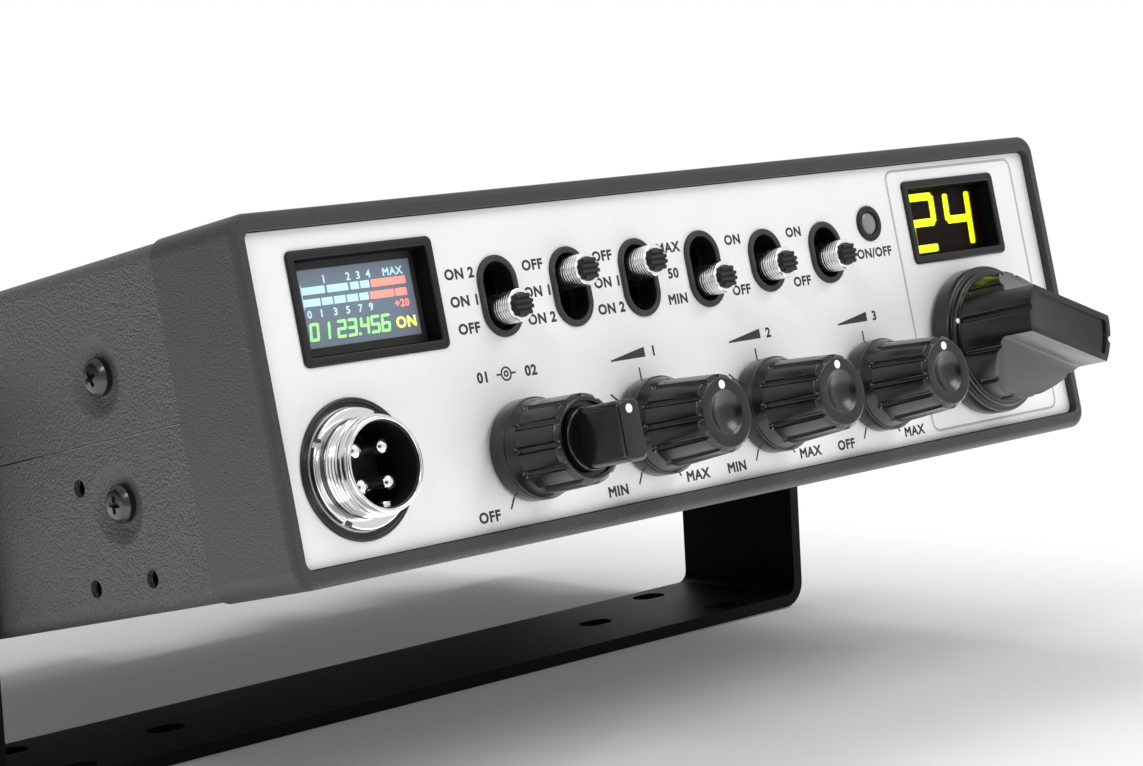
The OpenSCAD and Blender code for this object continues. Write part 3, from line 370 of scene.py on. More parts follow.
@dataclass(frozen=True)
class GlowInk(Finish):
    """A lit display colour, seen through a fine grid of picture cells."""

    glow: float = 1.0
    between: float = 0.8

    def extra(self, nodes: Nodes) -> dict[str, object]:
        """Adds the lit colour, slightly dimmed between the cells.

        Args:
            nodes: the material's tree.
        Returns:
            The glow's inputs.
        """
        where = self.place(nodes, self.grain)
        cells = nodes.add("ShaderNodeTexVoronoi", {"distance": "CHEBYCHEV"}, Vector=where, Scale=1.0, Randomness=0.0)
        dim = nodes.add("ShaderNodeMapRange", Value=cells.outputs["Distance"], From_Min=0.3, From_Max=0.5, To_Min=1.0,
                        To_Max=self.between)
        lit = nodes.add("ShaderNodeMix", {"data_type": "RGBA"})
        nodes.feed(lit.inputs["Factor"], dim.outputs["Result"])
        nodes.feed(lit.inputs["A"], (0.0, 0.0, 0.0, 1.0))
        nodes.feed(lit.inputs["B"], rgba(self.colour))
        return {"Emission Color": lit.outputs["Result"], "Emission Strength": self.glow}


@dataclass(frozen=True)
class ClearWindow(Finish):
    """A thin clear window with a little haze."""

    ior: float = 1.05
    alpha: float = 0.12

    def extra(self, nodes: Nodes) -> dict[str, object]:
        """The inputs of a clear shader."""
        return {"Transmission Weight": 1.0, "IOR": self.ior, "Alpha": self.alpha}


@dataclass(frozen=True)
class BoardResist(Finish):
    """Green resist over copper tracks."""

    def height(self, nodes: Nodes) -> bpy.types.NodeSocket:
        """Straight tracks from a square grid of cells.

        Args:
            nodes: the material's tree.
        Returns:
            The pattern's socket.
        """
        where = self.place(nodes, self.grain)
        cells = nodes.add("ShaderNodeTexVoronoi", {"distance": "MANHATTAN"}, Vector=where, Scale=1.0, Randomness=0.8)
        edge = nodes.add("ShaderNodeMapRange", Value=cells.outputs["Distance"], From_Min=0.3, From_Max=0.36)
        return edge.outputs["Result"]


class Coat(Enum):
    """Every finish on the object."""

    STAND = Finish("stand_powder_coat", (0.0028, 0.0028, 0.003), 0.5, grain=0.5, relief=0.02, specular=0.1)
    CASE = WrinkleCoat("bezel_grained_plastic", (0.04, 0.04, 0.0405), 0.46, grain=0.3, relief=0.1, mottle=0.2,
                       specular=0.22)
    COVER = WrinkleCoat("cover_wrinkle_coat", (0.054, 0.054, 0.0555), 0.44, grain=0.42, relief=0.36, mottle=0.3,
                        specular=0.28)
    SILVER = Finish("panel_satin_silver", (0.8, 0.8, 0.803), 0.42, grain=0.3, relief=0.008, mottle=0.06, metallic=0.2)
    REAR = Finish("rear_black_anodised", (0.02, 0.02, 0.022), 0.38, grain=0.3, relief=0.006, metallic=0.3)
    CHROME = Finish("bright_chrome", (0.66, 0.665, 0.67), 0.13, grain=0.6, relief=0.0008, mottle=0.04,
                    metallic=1.0, gloss_change=0.03)
    SATIN_CHROME = Finish("satin_chrome", (0.8, 0.805, 0.81), 0.2, grain=0.5, relief=0.001, mottle=0.05, metallic=1.0,
                          gloss_change=0.03)
    KNOB = Finish("knob_gloss_plastic", (0.0042, 0.0042, 0.0044), 0.24, grain=0.35, relief=0.006, specular=0.42)
    BLACK = Finish("black_satin_plastic", (0.004, 0.004, 0.0042), 0.4, grain=0.25, relief=0.005, specular=0.3)
    TRIM = Finish("trim_satin_plastic", (0.02, 0.02, 0.0205), 0.42, grain=0.25, relief=0.004, specular=0.35)
    # dark plastic of the levers' feet, and painted shade on the layers inside the slot and display frames
    DEEP = Finish("dark_plastic_and_painted_shade", (0.0025, 0.0025, 0.0025), 0.8, grain=0.3, relief=0.004, specular=0.08)
    MASK = Finish("display_mask", (0.034, 0.033, 0.032), 0.55, grain=0.3, relief=0.003, specular=0.2)
    SCREW = Finish("screw_black_oxide", (0.035, 0.035, 0.036), 0.22, grain=0.3, relief=0.004, metallic=0.7)
    WINDOW = ClearWindow("clear_window", (0.9, 0.9, 0.9), 0.05, grain=2.0, relief=0.0004, mottle=0.02,
                         gloss_change=0.02)
    LENS = Finish("lamp_grey_lens", (0.2, 0.2, 0.202), 0.22, grain=0.6, relief=0.004, coat=0.3)
    BOARD = BoardResist("board_green_resist", (0.03, 0.17, 0.07), 0.4, grain=2.2, relief=0.03, mottle=0.3)
    BRASS = Finish("plated_brass", (0.72, 0.56, 0.27), 0.22, grain=0.3, relief=0.002, metallic=1.0)
    WHITE = Finish("white_insulator", (0.82, 0.82, 0.8), 0.5, grain=0.4, relief=0.004, mottle=0.05)
    PAPER = Finish("cone_paper", (0.025, 0.025, 0.025), 0.85, grain=0.4, relief=0.03)
    METAL = Finish("plain_metal", (0.6, 0.61, 0.62), 0.35, grain=0.5, relief=0.003, metallic=1.0, stretch=(1, 6, 1))
    ZINC = Finish("zinc_plate", (0.55, 0.56, 0.57), 0.33, grain=0.8, relief=0.004, metallic=1.0, mottle=0.2)
    RUBBER = Finish("washer_rubber", (0.02, 0.02, 0.02), 0.75, grain=0.3, relief=0.01)
    INK = Finish("printed_black_ink", (0.012, 0.012, 0.012), 0.55, grain=0.2, relief=0.002)
    GREY_INK = Finish("printed_grey_ink", (0.42, 0.42, 0.43), 0.5, grain=0.2, relief=0.002)
    WHITE_INK = Finish("white_marker_paint", (0.95, 0.95, 0.95), 0.4, grain=0.2, relief=0.002, mottle=0.03)
    SCREEN = GlowInk("screen_slate", (0.092, 0.116, 0.150), 0.4, grain=0.12, relief=0.0005, glow=0.9)
    LIT_WHITE = GlowInk("screen_white", (0.34, 0.53, 0.60), 0.3, grain=0.12, relief=0.0005, glow=1.0)
    LIT_RED = GlowInk("screen_red", (1.0, 0.24, 0.19), 0.3, grain=0.12, relief=0.0005, glow=1.0)
    LIT_GREEN = GlowInk("screen_green", (0.32, 1.0, 0.24), 0.3, grain=0.12, relief=0.0005, glow=1.0)
    LIT_YELLOW = GlowInk("screen_yellow", (0.85, 1.0, 0.14), 0.3, grain=0.12, relief=0.0005, glow=1.0)
    DIGIT = GlowInk("digit_yellow_green", (0.76, 0.9, 0.0), 0.3, grain=0.3, relief=0.0005, glow=1.0)
    DIGIT_FIELD = Finish("digit_dark_field", (0.008, 0.003, 0.0025), 0.4, grain=0.3, relief=0.001, specular=0.06)


SLOT_COATS = {
    "stand_paint": Coat.STAND, "case_plastic": Coat.CASE, "panel_silver": Coat.SILVER, "cover_paint": Coat.COVER,
    "chassis_zinc": Coat.ZINC, "rear_paint": Coat.REAR, "chrome_plate": Coat.CHROME, "knob_plastic": Coat.KNOB,
    "black_plastic": Coat.BLACK, "screw_black": Coat.SCREW, "window_glass": Coat.WINDOW, "lens_plastic": Coat.LENS,
    "board_green": Coat.BOARD, "plated_brass": Coat.BRASS, "white_insulator": Coat.WHITE, "cone_paper": Coat.PAPER,
    "component_metal": Coat.METAL, "shaft_steel": Coat.METAL, "washer_rubber": Coat.RUBBER,
}


# Outlines and profiles


def fillet(points: Sequence[tuple[float, float, float]], closed: bool, steps: int = 4) -> Loop:
    """Rounds the corners of a path.

    Args:
        points: corners as x, y and the rounding radius there.
        closed: whether the last corner joins the first.
        steps: chords in each rounding.
    Returns:
        The path's points.
    """
    out: Loop = []
    count = len(points)
    for index, (x, y, radius) in enumerate(points):
        here = Vector((x, y))
        if radius <= 0 or (not closed and index in (0, count - 1)):
            out.append((x, y))
            continue
        before = (Vector(points[index - 1][:2]) - here).normalized()
        after = (Vector(points[(index + 1) % count][:2]) - here).normalized()
        half = math.acos(max(-1.0, min(1.0, before.dot(after)))) / 2
        reach = radius / math.tan(half)
        start, end = here + before * reach, here + after * reach
        centre = here + (before + after).normalized() * (radius / math.sin(half))
        first = math.atan2(*(start - centre).yx)
        sweep = math.atan2(*(end - centre).yx) - first
        sweep = (sweep + math.pi) % (2 * math.pi) - math.pi
        for k in range(steps + 1):
            angle = first + sweep * k / steps
            out.append((centre.x + radius * math.cos(angle), centre.y + radius * math.sin(angle)))
    return out


def rounded_rectangle(width: float, height: float, radius: float, steps: int = 6) -> Loop:
    """A rectangle about the origin with round corners.

    Args:
        width: its size along x.
        height: its size along y.
        radius: the corners' radius.
        steps: chords in each corner.
    Returns:
        The outline's points.
    """
    w, h = width / 2, height / 2
    corners = [(w, -h, radius), (w, h, radius), (-w, h, radius), (-w, -h, radius)]
    return fillet(corners, True, steps)


def stadium(width: float, length: float, steps: int = 14) -> Loop:
    """An upright outline with half-round ends, of the given outside length."""
    return rounded_rectangle(width, length, width / 2 - 1e-4, steps)


# Meshes


def link(made: bpy.types.Object) -> None:
    """Puts an object into the scene."""
    bpy.context.scene.collection.objects.link(made)


def baked(made: bpy.types.Object) -> bpy.types.Mesh:
    """A linked object's mesh with its modifiers applied.

    Args:
        made: the object.
    Returns:
        A new plain mesh.
    """
    bpy.context.view_layer.update()
    graph = bpy.context.evaluated_depsgraph_get()
    return bpy.data.meshes.new_from_object(made.evaluated_get(graph), preserve_all_data_layers=True, depsgraph=graph)


class Shape:
    """A mesh in the making, in local millimetres."""

    def __init__(self) -> None:
        """Starts empty."""
        self.bm = bmesh.new()

    def bridge(self, low: list, high: list) -> None:
        """Joins two rings of vertices, either of which may be a single pole.

        Args:
            low: the first ring.
            high: the next ring.
        """
        count = max(len(low), len(high))
        for k in range(count):
            corners = [low[k % len(low)], low[(k + 1) % len(low)], high[(k + 1) % len(high)], high[k % len(high)]]
            face = list(dict.fromkeys(corners))
            if len(face) > 2:
                self.bm.faces.new(face)

    def rings(self, loops: Iterable[Sequence[tuple[float, float, float]]], around: bool = False) -> "Shape":
        """Skins a stack of rings.

        Args:
            loops: rings of points; a ring of one point is a pole.
            around: whether the last ring joins the first; otherwise open ends are capped.
        Returns:
            The shape itself.
        """
        made = [[self.bm.verts.new(point) for point in loop] for loop in loops]
        for low, high in zip(made, made[1:]):
            self.bridge(low, high)
        if around:
            self.bridge(made[-1], made[0])
            return self
        for end in (made[0], made[-1]):
            if len(end) > 2:
                self.bm.faces.new(end)
        return self

    def revolve(
        self,
        profile: Sequence[Point],
        segments: int = 96,
        around: bool = False,
        limit: Callable[[float, float], float] | None = None,
        angles: Sequence[float] | None = None,
    ) -> "Shape":
        """Turns a profile about the local z axis.

        Args:
            profile: radius and height pairs.
            segments: steps round the axis.
            around: whether the profile is a closed ring.
            limit: the largest radius that is left at an angle and a height.
            angles: the steps' own angles, in place of even ones.
        Returns:
            The shape itself.
        """
        turns = list(angles) if angles else [2 * math.pi * k / segments for k in range(segments)]
        loops = []
        for radius, height in profile:
            if radius < 1e-6:
                loops.append([(0.0, 0.0, height)])
                continue
            loop = []
            for angle in turns:
                r = min(radius, limit(angle, height)) if limit else radius
                loop.append((r * math.cos(angle), r * math.sin(angle), height))
            loops.append(loop)
        return self.rings(loops, around)

    def prism(self, outline: Loop, z0: float, z1: float) -> "Shape":
        """Extrudes an outline from height z0 to height z1."""
        return self.rings([[(x, y, z) for x, y in outline] for z in (z0, z1)])

    def box(self, low: Sequence[float], high: Sequence[float]) -> "Shape":
        """Adds a block between two corners."""
        outline = [(high[0], low[1]), (high[0], high[1]), (low[0], high[1]), (low[0], low[1])]
        return self.prism(outline, low[2], high[2])

    def bevel(self, width: float, segments: int = 3, angle: float = 30.0,
              pick: Callable[[bmesh.types.BMEdge], bool] | None = None) -> "Shape":
        """Rounds sharp edges.

        Args:
            width: the rounding's width, in the shape's units.
            segments: chords across the rounding.
            angle: edges that bend more than this many degrees count as sharp.
            pick: a further test for an edge.
        Returns:
            The shape itself.
        """
        limit = math.radians(angle)
        self.bm.normal_update()
        sharp = [
            edge for edge in self.bm.edges
            if len(edge.link_faces) == 2 and edge.calc_face_angle(0.0) > limit and (pick is None or pick(edge))
        ]
        bmesh.ops.bevel(self.bm, geom=sharp, offset=width, segments=segments, profile=0.5, affect="EDGES",
                        clamp_overlap=True, offset_type="OFFSET")
        return self

    def move(self, matrix: Matrix) -> "Shape":
        """Moves all that is in the shape so far."""
        self.bm.transform(matrix)
        return self

    def take(self, other: "Shape", matrix: Matrix | None = None) -> "Shape":
        """Takes over another shape, moved by a matrix.

        Args:
            other: the shape, which is used up.
            matrix: its move.
        Returns:
            The shape itself.
        """
        if matrix is not None:
            other.bm.transform(matrix)
        mesh = bpy.data.meshes.new("taken")
        other.bm.to_mesh(mesh)
        other.bm.free()
        self.bm.from_mesh(mesh)
        bpy.data.meshes.remove(mesh)
        return self

    def take_mesh(self, mesh: bpy.types.Mesh, matrix: Matrix | None = None) -> "Shape":
        """Takes over a plain mesh, moved by a matrix, and removes it.

        Args:
            mesh: the mesh.
            matrix: its move.
        Returns:
            The shape itself.
        """
        if matrix is not None:
            mesh.transform(matrix)
        self.bm.from_mesh(mesh)
        bpy.data.meshes.remove(mesh)
        return self

    def loose(self, name: str) -> bpy.types.Object:
        """Args:
            name: the object's name.
        Returns:
            The object, with faces outwards.
        """
        bmesh.ops.recalc_face_normals(self.bm, faces=self.bm.faces)
        mesh = bpy.data.meshes.new(name)
        self.bm.to_mesh(mesh)
        self.bm.free()
        made = bpy.data.objects.new(name, mesh)
        link(made)
        return made

    def minus(self, cutter: "Shape") -> "Shape":
        """The shape with another one cut out of it.

        Args:
            cutter: what is cut out; both shapes are used up.
        Returns:
            A new shape.
        """
        block, tool = self.loose("block"), cutter.loose("tool")
        cut = block.modifiers.new("cut", "BOOLEAN")
        cut.operation, cut.solver, cut.object = "DIFFERENCE", "EXACT", tool
        mesh = baked(block)
        for made in (block, tool):
            old = made.data
            bpy.data.objects.remove(made)
            bpy.data.meshes.remove(old)
        return Shape().take_mesh(mesh)

    def piece(
        self, name: str, body: str, coat: Coat, slot: str | None = None, replaces: Sequence[str] = (),
        matrix: Matrix | None = None, smooth: float = 35.0, merge: float = 1e-5, flat: bool = False,
    ) -> bpy.types.Object:
        """Makes the finished object and lets it ride.

        Args:
            name: the piece's name.
            body: the CAD body that carries it.
            coat: its finish.
            slot: the record's material slot; not used.
            replaces: CAD nodes that it stands for.
            matrix: from local millimetres to the shared frame; left out if the shape is there already.
            smooth: edges that bend less than this many degrees are shaded smooth.
            merge: vertices closer than this are joined, in millimetres.
            flat: whether large faces keep their own direction beside rounded edges.
        Returns:
            The object.
        """
        if matrix is not None:
            self.bm.transform(matrix)
        bmesh.ops.remove_doubles(self.bm, verts=self.bm.verts, dist=merge * MM)
        bmesh.ops.recalc_face_normals(self.bm, faces=self.bm.faces)
        mesh = bpy.data.meshes.new(name)
        self.bm.to_mesh(mesh)
        self.bm.free()
        mesh.shade_smooth()
        mesh.set_sharp_from_angle(angle=math.radians(smooth))
        mesh.materials.append(coat.value.material())
        made = bpy.data.objects.new(name, mesh)
        link(made)
        if flat:
            weigh = made.modifiers.new("weigh", "WEIGHTED_NORMAL")
            weigh.keep_sharp = True
            made.data = baked(made)
            made.data.name = name + "_mesh"
            made.modifiers.remove(weigh)
            bpy.data.meshes.remove(mesh)
            mesh = made.data
        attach(made, body)
        if replaces:
            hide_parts(*replaces)
        LOG.info("%s rides on %s: %d faces", name, body, len(mesh.polygons))
        return made


def cad_shape(node: str) -> Shape:
    """A copy of a CAD node with joined corners and whole flat faces, in the shared frame.

    Args:
        node: the CAD node's name.
    Returns:
        The copy, in metres.
    """
    shape = Shape()
    shape.bm.from_mesh(frame["nodes"][node].data)
    bmesh.ops.remove_doubles(shape.bm, verts=shape.bm.verts, dist=1e-7)
    bmesh.ops.dissolve_limit(shape.bm, angle_limit=math.radians(0.4), verts=shape.bm.verts, edges=shape.bm.edges)
    return shape


def rounded_node(node: str, name: str, body: str, coat: Coat, slot: str, width: float = 0.25,
                 segments: int = 2) -> bpy.types.Object:
    """A CAD node's copy with rounded edges, which stands for the node.

    Args:
        node: the CAD node.
        name: the new piece's name.
        body: the body that carries it.
        coat: its finish.
        slot: the record's material slot.
        width: the rounding in millimetres.
        segments: chords across the rounding.
    Returns:
        The piece.
    """
    shape = cad_shape(node).bevel(width * MM, segments)
    return shape.piece(name, body, coat, slot, [node], merge=1e-3, flat=True)


# Repeats, by Geometry Nodes


class Repeat:
    """A Geometry Nodes tree with named inputs that ends in Realize Instances and Set Material."""

    def __init__(self, name: str, inputs: dict[str, str]) -> None:
        """Makes the tree.

        Args:
            name: the tree's name.
            inputs: socket types by input name.
        """
        self.tree = bpy.data.node_groups.new(name, "GeometryNodeTree")
        self.tree.interface.new_socket("Geometry", in_out="INPUT", socket_type="NodeSocketGeometry")
        self.ids: dict[str, str] = {}
        for key, kind in (inputs | {"Material": "Material"}).items():
            made = self.tree.interface.new_socket(key, in_out="INPUT", socket_type="NodeSocket" + kind)
            self.ids[key] = made.identifier
        self.tree.interface.new_socket("Geometry", in_out="OUTPUT", socket_type="NodeSocketGeometry")
        self.nodes = Nodes(self.tree)
        self.given = self.nodes.add("NodeGroupInput")

    def __getitem__(self, key: str) -> bpy.types.NodeSocket:
        """The socket of a named input."""
        return self.given.outputs[key]

    def vector(self, x: object, y: object, z: object) -> bpy.types.NodeSocket:
        """Joins three numbers to a vector."""
        return self.nodes.add("ShaderNodeCombineXYZ", X=x, Y=y, Z=z).outputs["Vector"]

    def finish(self, geometry: bpy.types.NodeSocket) -> None:
        """Ends the tree.

        Args:
            geometry: what the tree has made.
        """
        real = self.nodes.add("GeometryNodeRealizeInstances", Geometry=geometry)
        dressed = self.nodes.add("GeometryNodeSetMaterial", Geometry=real.outputs[0], Material=self["Material"])
        self.nodes.add("NodeGroupOutput", Geometry=dressed.outputs[0])

    def mesh(self, coat: Coat, values: dict[str, object], base: bpy.types.Mesh | None = None) -> bpy.types.Mesh:
        """Runs the tree.

        Args:
            coat: the finish of what repeats.
            values: the inputs' values by name.
            base: the mesh that the tree starts from.
        Returns:
            The result as a plain mesh.
        """
        start = base or bpy.data.meshes.new("start")
        carrier = bpy.data.objects.new("carrier", start)
        modifier = carrier.modifiers.new("repeat", "NODES")
        modifier.node_group = self.tree
        for key, value in (values | {"Material": coat.value.material()}).items():
            modifier[self.ids[key]] = value
        link(carrier)
        result = baked(carrier)
        carrier.modifiers.remove(modifier)
        bpy.data.objects.remove(carrier)
        bpy.data.meshes.remove(start)
        return result


def tick_tree() -> Repeat:
    """Scale marks on an arc; angles run clockwise from the top.

    Returns:
        The tree.
    """
    sizes = {"Count": "Int", "First": "Float", "Step": "Float", "Radius": "Float", "Size": "Vector"}
    made = Repeat("scale_marks", sizes)
    add, calc = made.nodes.add, made.nodes.math
    index = add("GeometryNodeInputIndex").outputs["Index"]
    angle = calc("ADD", calc("MULTIPLY", index, made["Step"]), made["First"])
    x = calc("MULTIPLY", calc("SINE", angle), made["Radius"])
    y = calc("MULTIPLY", calc("COSINE", angle), made["Radius"])
    points = add("GeometryNodePoints", Count=made["Count"], Position=made.vector(x, y, 0.0))
    mark = add("GeometryNodeMeshCube", Size=made["Size"])
    turned = made.vector(0.0, 0.0, calc("MULTIPLY", angle, -1.0))
    marks = add("GeometryNodeInstanceOnPoints", Points=points.outputs[0], Instance=mark.outputs["Mesh"],
                Rotation=turned)
    made.finish(marks.outputs["Instances"])
    return made


def rib_tree() -> Repeat:
    """Round ribs side by side across a disc, each as long as the disc is wide there.

    Returns:
        The tree.
    """
    made = Repeat("disc_ribs", {"Count": "Int", "Pitch": "Float", "Disc": "Float", "Rib": "Float"})
    add, calc = made.nodes.add, made.nodes.math
    index = add("GeometryNodeInputIndex").outputs["Index"]
    middle = calc("DIVIDE", calc("SUBTRACT", made["Count"], 1.0), 2.0)
    y = calc("MULTIPLY", calc("SUBTRACT", index, middle), made["Pitch"])
    chord = calc("SUBTRACT", calc("POWER", made["Disc"], 2.0), calc("POWER", y, 2.0))
    half = calc("SQRT", chord)
    points = add("GeometryNodePoints", Count=made["Count"], Position=made.vector(0.0, y, 0.0))
    rib = add("GeometryNodeMeshCylinder", Vertices=20, Radius=made["Rib"], Depth=2.0)
    lying = made.vector(0.0, math.pi / 2, 0.0)
    ribs = add("GeometryNodeInstanceOnPoints", Points=points.outputs[0], Instance=rib.outputs["Mesh"],
               Rotation=lying, Scale=made.vector(1.0, 1.0, half))
    made.finish(ribs.outputs["Instances"])
    return made


def thread_tree() -> Repeat:
    """A screw thread's crest, wound round the local z axis.

    Returns:
        The tree.
    """
    made = Repeat("thread_crest", {"Radius": "Float", "Length": "Float", "Turns": "Float", "Crest": "Float"})
    add = made.nodes.add
    helix = add("GeometryNodeCurveSpiral", Resolution=64, Rotations=made["Turns"],
                Start_Radius=made["Radius"], End_Radius=made["Radius"], Height=made["Length"])
    crest = add("GeometryNodeCurvePrimitiveCircle", Resolution=6, Radius=made["Crest"])
    ridge = add("GeometryNodeCurveToMesh", Curve=helix.outputs["Curve"],
                Profile_Curve=crest.outputs["Curve"], Fill_Caps=True)
    made.finish(ridge.outputs["Mesh"])
    return made


def fastener_tree() -> Repeat:
    """Copies of one fastener at marked seats, each turned at random about its axis.

    Returns:
        The tree.
    """
    made = Repeat("fasteners", {"Fastener": "Object", "Seed": "Int"})
    add = made.nodes.add
    template = add("GeometryNodeObjectInfo", Object=made["Fastener"])
    axis = add("GeometryNodeInputNamedAttribute", {"data_type": "FLOAT_VECTOR"}, Name="axis")
    facing = add("FunctionNodeAlignRotationToVector", {"axis": "Z"}, Vector=axis.outputs["Attribute"])
    twist = add("FunctionNodeRandomValue", {"data_type": "FLOAT"}, Seed=made["Seed"])
    twist.inputs[3].default_value = math.pi
    turned = add("FunctionNodeRotateRotation", {"rotation_space": "LOCAL"},
                 Rotation=facing.outputs["Rotation"])
    made.nodes.feed(turned.inputs["Rotate By"], made.vector(0.0, 0.0, twist.outputs[1]))
    copies = add("GeometryNodeInstanceOnPoints", Points=made["Geometry"],
                 Instance=template.outputs["Geometry"], Rotation=turned.outputs["Rotation"])
    made.finish(copies.outputs["Instances"])
    return made


# Lettering


class Lettering:
    """Flat printed words and figures, made as thin solids."""

    stretch: float = 1.08
    spacing: float = 1.1
    ink_t: float = 0.02
    cap_share: float = 0.72

    def mesh(self, text: str, height: float, weight: float = 0.03) -> Shape:
        """Writes one line about the origin.

        Args:
            text: what is written.
            height: the height of a capital, in millimetres.
            weight: how much the strokes are fattened, as a share of the type size.
        Returns:
            The words as a shape.
        """
        curve = bpy.data.curves.new("words", "FONT")
        curve.body = text
        curve_size = height / self.cap_share
        curve.size = curve_size
        curve.space_character = self.spacing
        curve.bevel_depth = weight * curve.size
        curve.bevel_resolution = 0
        curve.resolution_u = 3
        holder = bpy.data.objects.new("words", curve)
        link(holder)
        mesh = baked(holder)
        bpy.data.objects.remove(holder)
        bpy.data.curves.remove(curve)
        xs = [v.co.x for v in mesh.vertices]
        centre = Vector(((min(xs) + max(xs)) / 2, height / 2, 0.0))
        thin = self.ink_t / (2 * weight * curve_size)
        mesh.transform(Matrix.Diagonal((self.stretch, 1.0, thin, 1.0)) @ Matrix.Translation(-centre))
        return Shape().take_mesh(mesh)


LETTERING = Lettering()


# Sub-assemblies


@dataclass(frozen=True)
class Stand:
    """The folded stand with its friction washers and scalloped thumbscrews."""

    edge: float = 0.5
    collar_r: float = 6.0
    collar_t: float = 2.5
    head_r: float = 11.0
    head_t: float = 7.0
    stud_r: float = 2.45
    scallops: int = 10
    scallop_r: float = 2.2
    scallop_out: float = 1.2

    def scallop(self, angle: float, height: float) -> float:
        """The radius that the scallops leave at an angle and a height, in millimetres.

        Args:
            angle: in radians.
            height: above the collar's back.
        Returns:
            The radius.
        """
        step = 2 * math.pi / self.scallops
        off = (angle + step / 2) % step - step / 2
        reach = self.head_r + self.scallop_out
        side = reach * math.sin(off)
        if height <= self.collar_t or abs(side) >= self.scallop_r:
            return self.head_r
        return reach * math.cos(off) - math.sqrt(self.scallop_r ** 2 - side ** 2)

    def thumbscrew(self, node: str, sign: int) -> None:
        """Builds one thumbscrew.

        Args:
            node: the CAD node that it stands for.
            sign: 1 on the right, -1 on the left.
        """
        low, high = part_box(node)
        middle = (low + high) / 2
        top = self.collar_t + self.head_t
        stud = (high.x - low.x) / MM - top
        outer = high.x if sign > 0 else low.x
        profile = fillet(
            [
                (0, -stud, 0), (self.stud_r, -stud, 0.4), (self.stud_r, 0, 0.2), (self.collar_r, 0, 0.3),
                (self.collar_r, self.collar_t, 0.4), (self.head_r, self.collar_t + 0.001, 0.8),
                (self.head_r, top, 1.4), (self.head_r - 3.2, top, 0.6), (self.head_r - 3.8, top - 0.9, 0.6),
                (0, top - 0.9, 0),
            ],
            False,
        )
        step = 2 * math.pi / self.scallops
        share = [-0.5, -0.42, -0.34, -0.3, -0.24, -0.16, -0.08, 0.0, 0.08, 0.16, 0.24, 0.3, 0.34, 0.42]
        turns = [step * (k + part) for k in range(self.scallops) for part in share]
        shape = Shape().revolve(profile, limit=self.scallop, angles=turns)
        facing = shift(outer - sign * top * MM, middle.y, middle.z)
        facing = facing @ Matrix.Rotation(sign * math.pi / 2, 4, "Y") @ Matrix.Scale(MM, 4)
        body = node.split("_")[1] + "_thumbscrew"
        shape.piece(node + "_head", body, Coat.BLACK, "black_plastic", [node], facing)

    def build(self) -> None:
        """Builds the stand's pieces."""
        rounded_node("mounting_bracket", "folded_stand", "bracket", Coat.STAND, "stand_paint", self.edge, 3)
        rounded_node("pivot_washers", "friction_washers", "radio", Coat.RUBBER, "washer_rubber", 0.2)
        self.thumbscrew("thumbscrew_left", -1)
        self.thumbscrew("thumbscrew_right", 1)


@dataclass(frozen=True)
class Case:
    """Bezel, faceplate, wrinkled covers and the rear panel."""

    rim_round: float = 1.3
    rim_reach: tuple[float, float] = (2.2, 2.8)
    edge: float = 0.3
    cover_edge: float = 0.45
    dimple_r: float = 7.2
    floor_r: float = 3.4
    dimple: float = 1.5

    def bezel(self) -> None:
        """Builds the bezel with a well rounded front edge."""
        low, high = PANEL.box("front_bezel")
        inverse = ON_PANEL.inverted()
        x, y = self.rim_reach

        def outer_front(edge: bmesh.types.BMEdge) -> bool:
            """Whether an edge runs round the outside of the front face."""
            ends = [inverse @ v.co for v in edge.verts]
            return all(p.z > high[2] - 0.05 and (p.x > high[0] - x or p.x < low[0] + x
                                                or p.y > high[1] - y or p.y < low[1] + y) for p in ends)

        shape = cad_shape("front_bezel")
        shape.bevel(self.rim_round * MM, 5, 40.0, outer_front)
        shape.bevel(self.edge * MM, 2, 50.0)
        shape.piece("front_bezel_moulding", "radio", Coat.CASE, "case_plastic", ["front_bezel"], merge=1e-3,
                    flat=True)

    def dimples(self, node: str) -> Shape:
        """What a cover loses round its side screws: soft pressed dimples.

        Args:
            node: the cover's CAD node.
        Returns:
            The cutter, in panel millimetres.
        """
        low, high = PANEL.box(node)
        profile = [(0, -self.dimple)]
        for t in (k / 10 for k in range(11)):
            up = t * t * (3 - 2 * t)
            profile.append((self.floor_r + (self.dimple_r - self.floor_r) * t, (self.dimple + 0.02) * up - self.dimple))
        profile += [(self.dimple_r, 1.0), (0, 1.0)]
        shape = Shape()
        for seat, way in Screws().seats():
            face = high[0] if way.x > 0 else low[0]
            if abs(way.x) > 0.5 and abs(seat.x - face) < 3 and low[1] < seat.y < high[1]:
                turn = Matrix.Rotation(math.copysign(math.pi / 2, way.x), 4, "Y")
                shape.take(Shape().revolve(profile, 64), shift(face, seat.y, seat.z) @ turn)
        return shape

    def cover(self, node: str, name: str) -> None:
        """Builds one folded cover.

        Args:
            node: the cover's CAD node.
            name: the piece's name.
        """
        shape = cad_shape(node).move(ON_PANEL.inverted()).minus(self.dimples(node))
        shape.bevel(self.cover_edge, 3)
        shape.piece(name, "radio", Coat.COVER, "cover_paint", [node], ON_PANEL, merge=1e-3, flat=True)

    def build(self) -> None:
        """Builds the case's pieces."""
        self.bezel()
        rounded_node("front_panel", "silver_faceplate", "radio", Coat.SILVER, "panel_silver", 0.12)
        self.cover("top_cover", "upper_shell")
        self.cover("bottom_cover", "lower_shell")
        rounded_node("rear_panel", "finned_rear_panel", "radio", Coat.REAR, "rear_paint", 0.3)


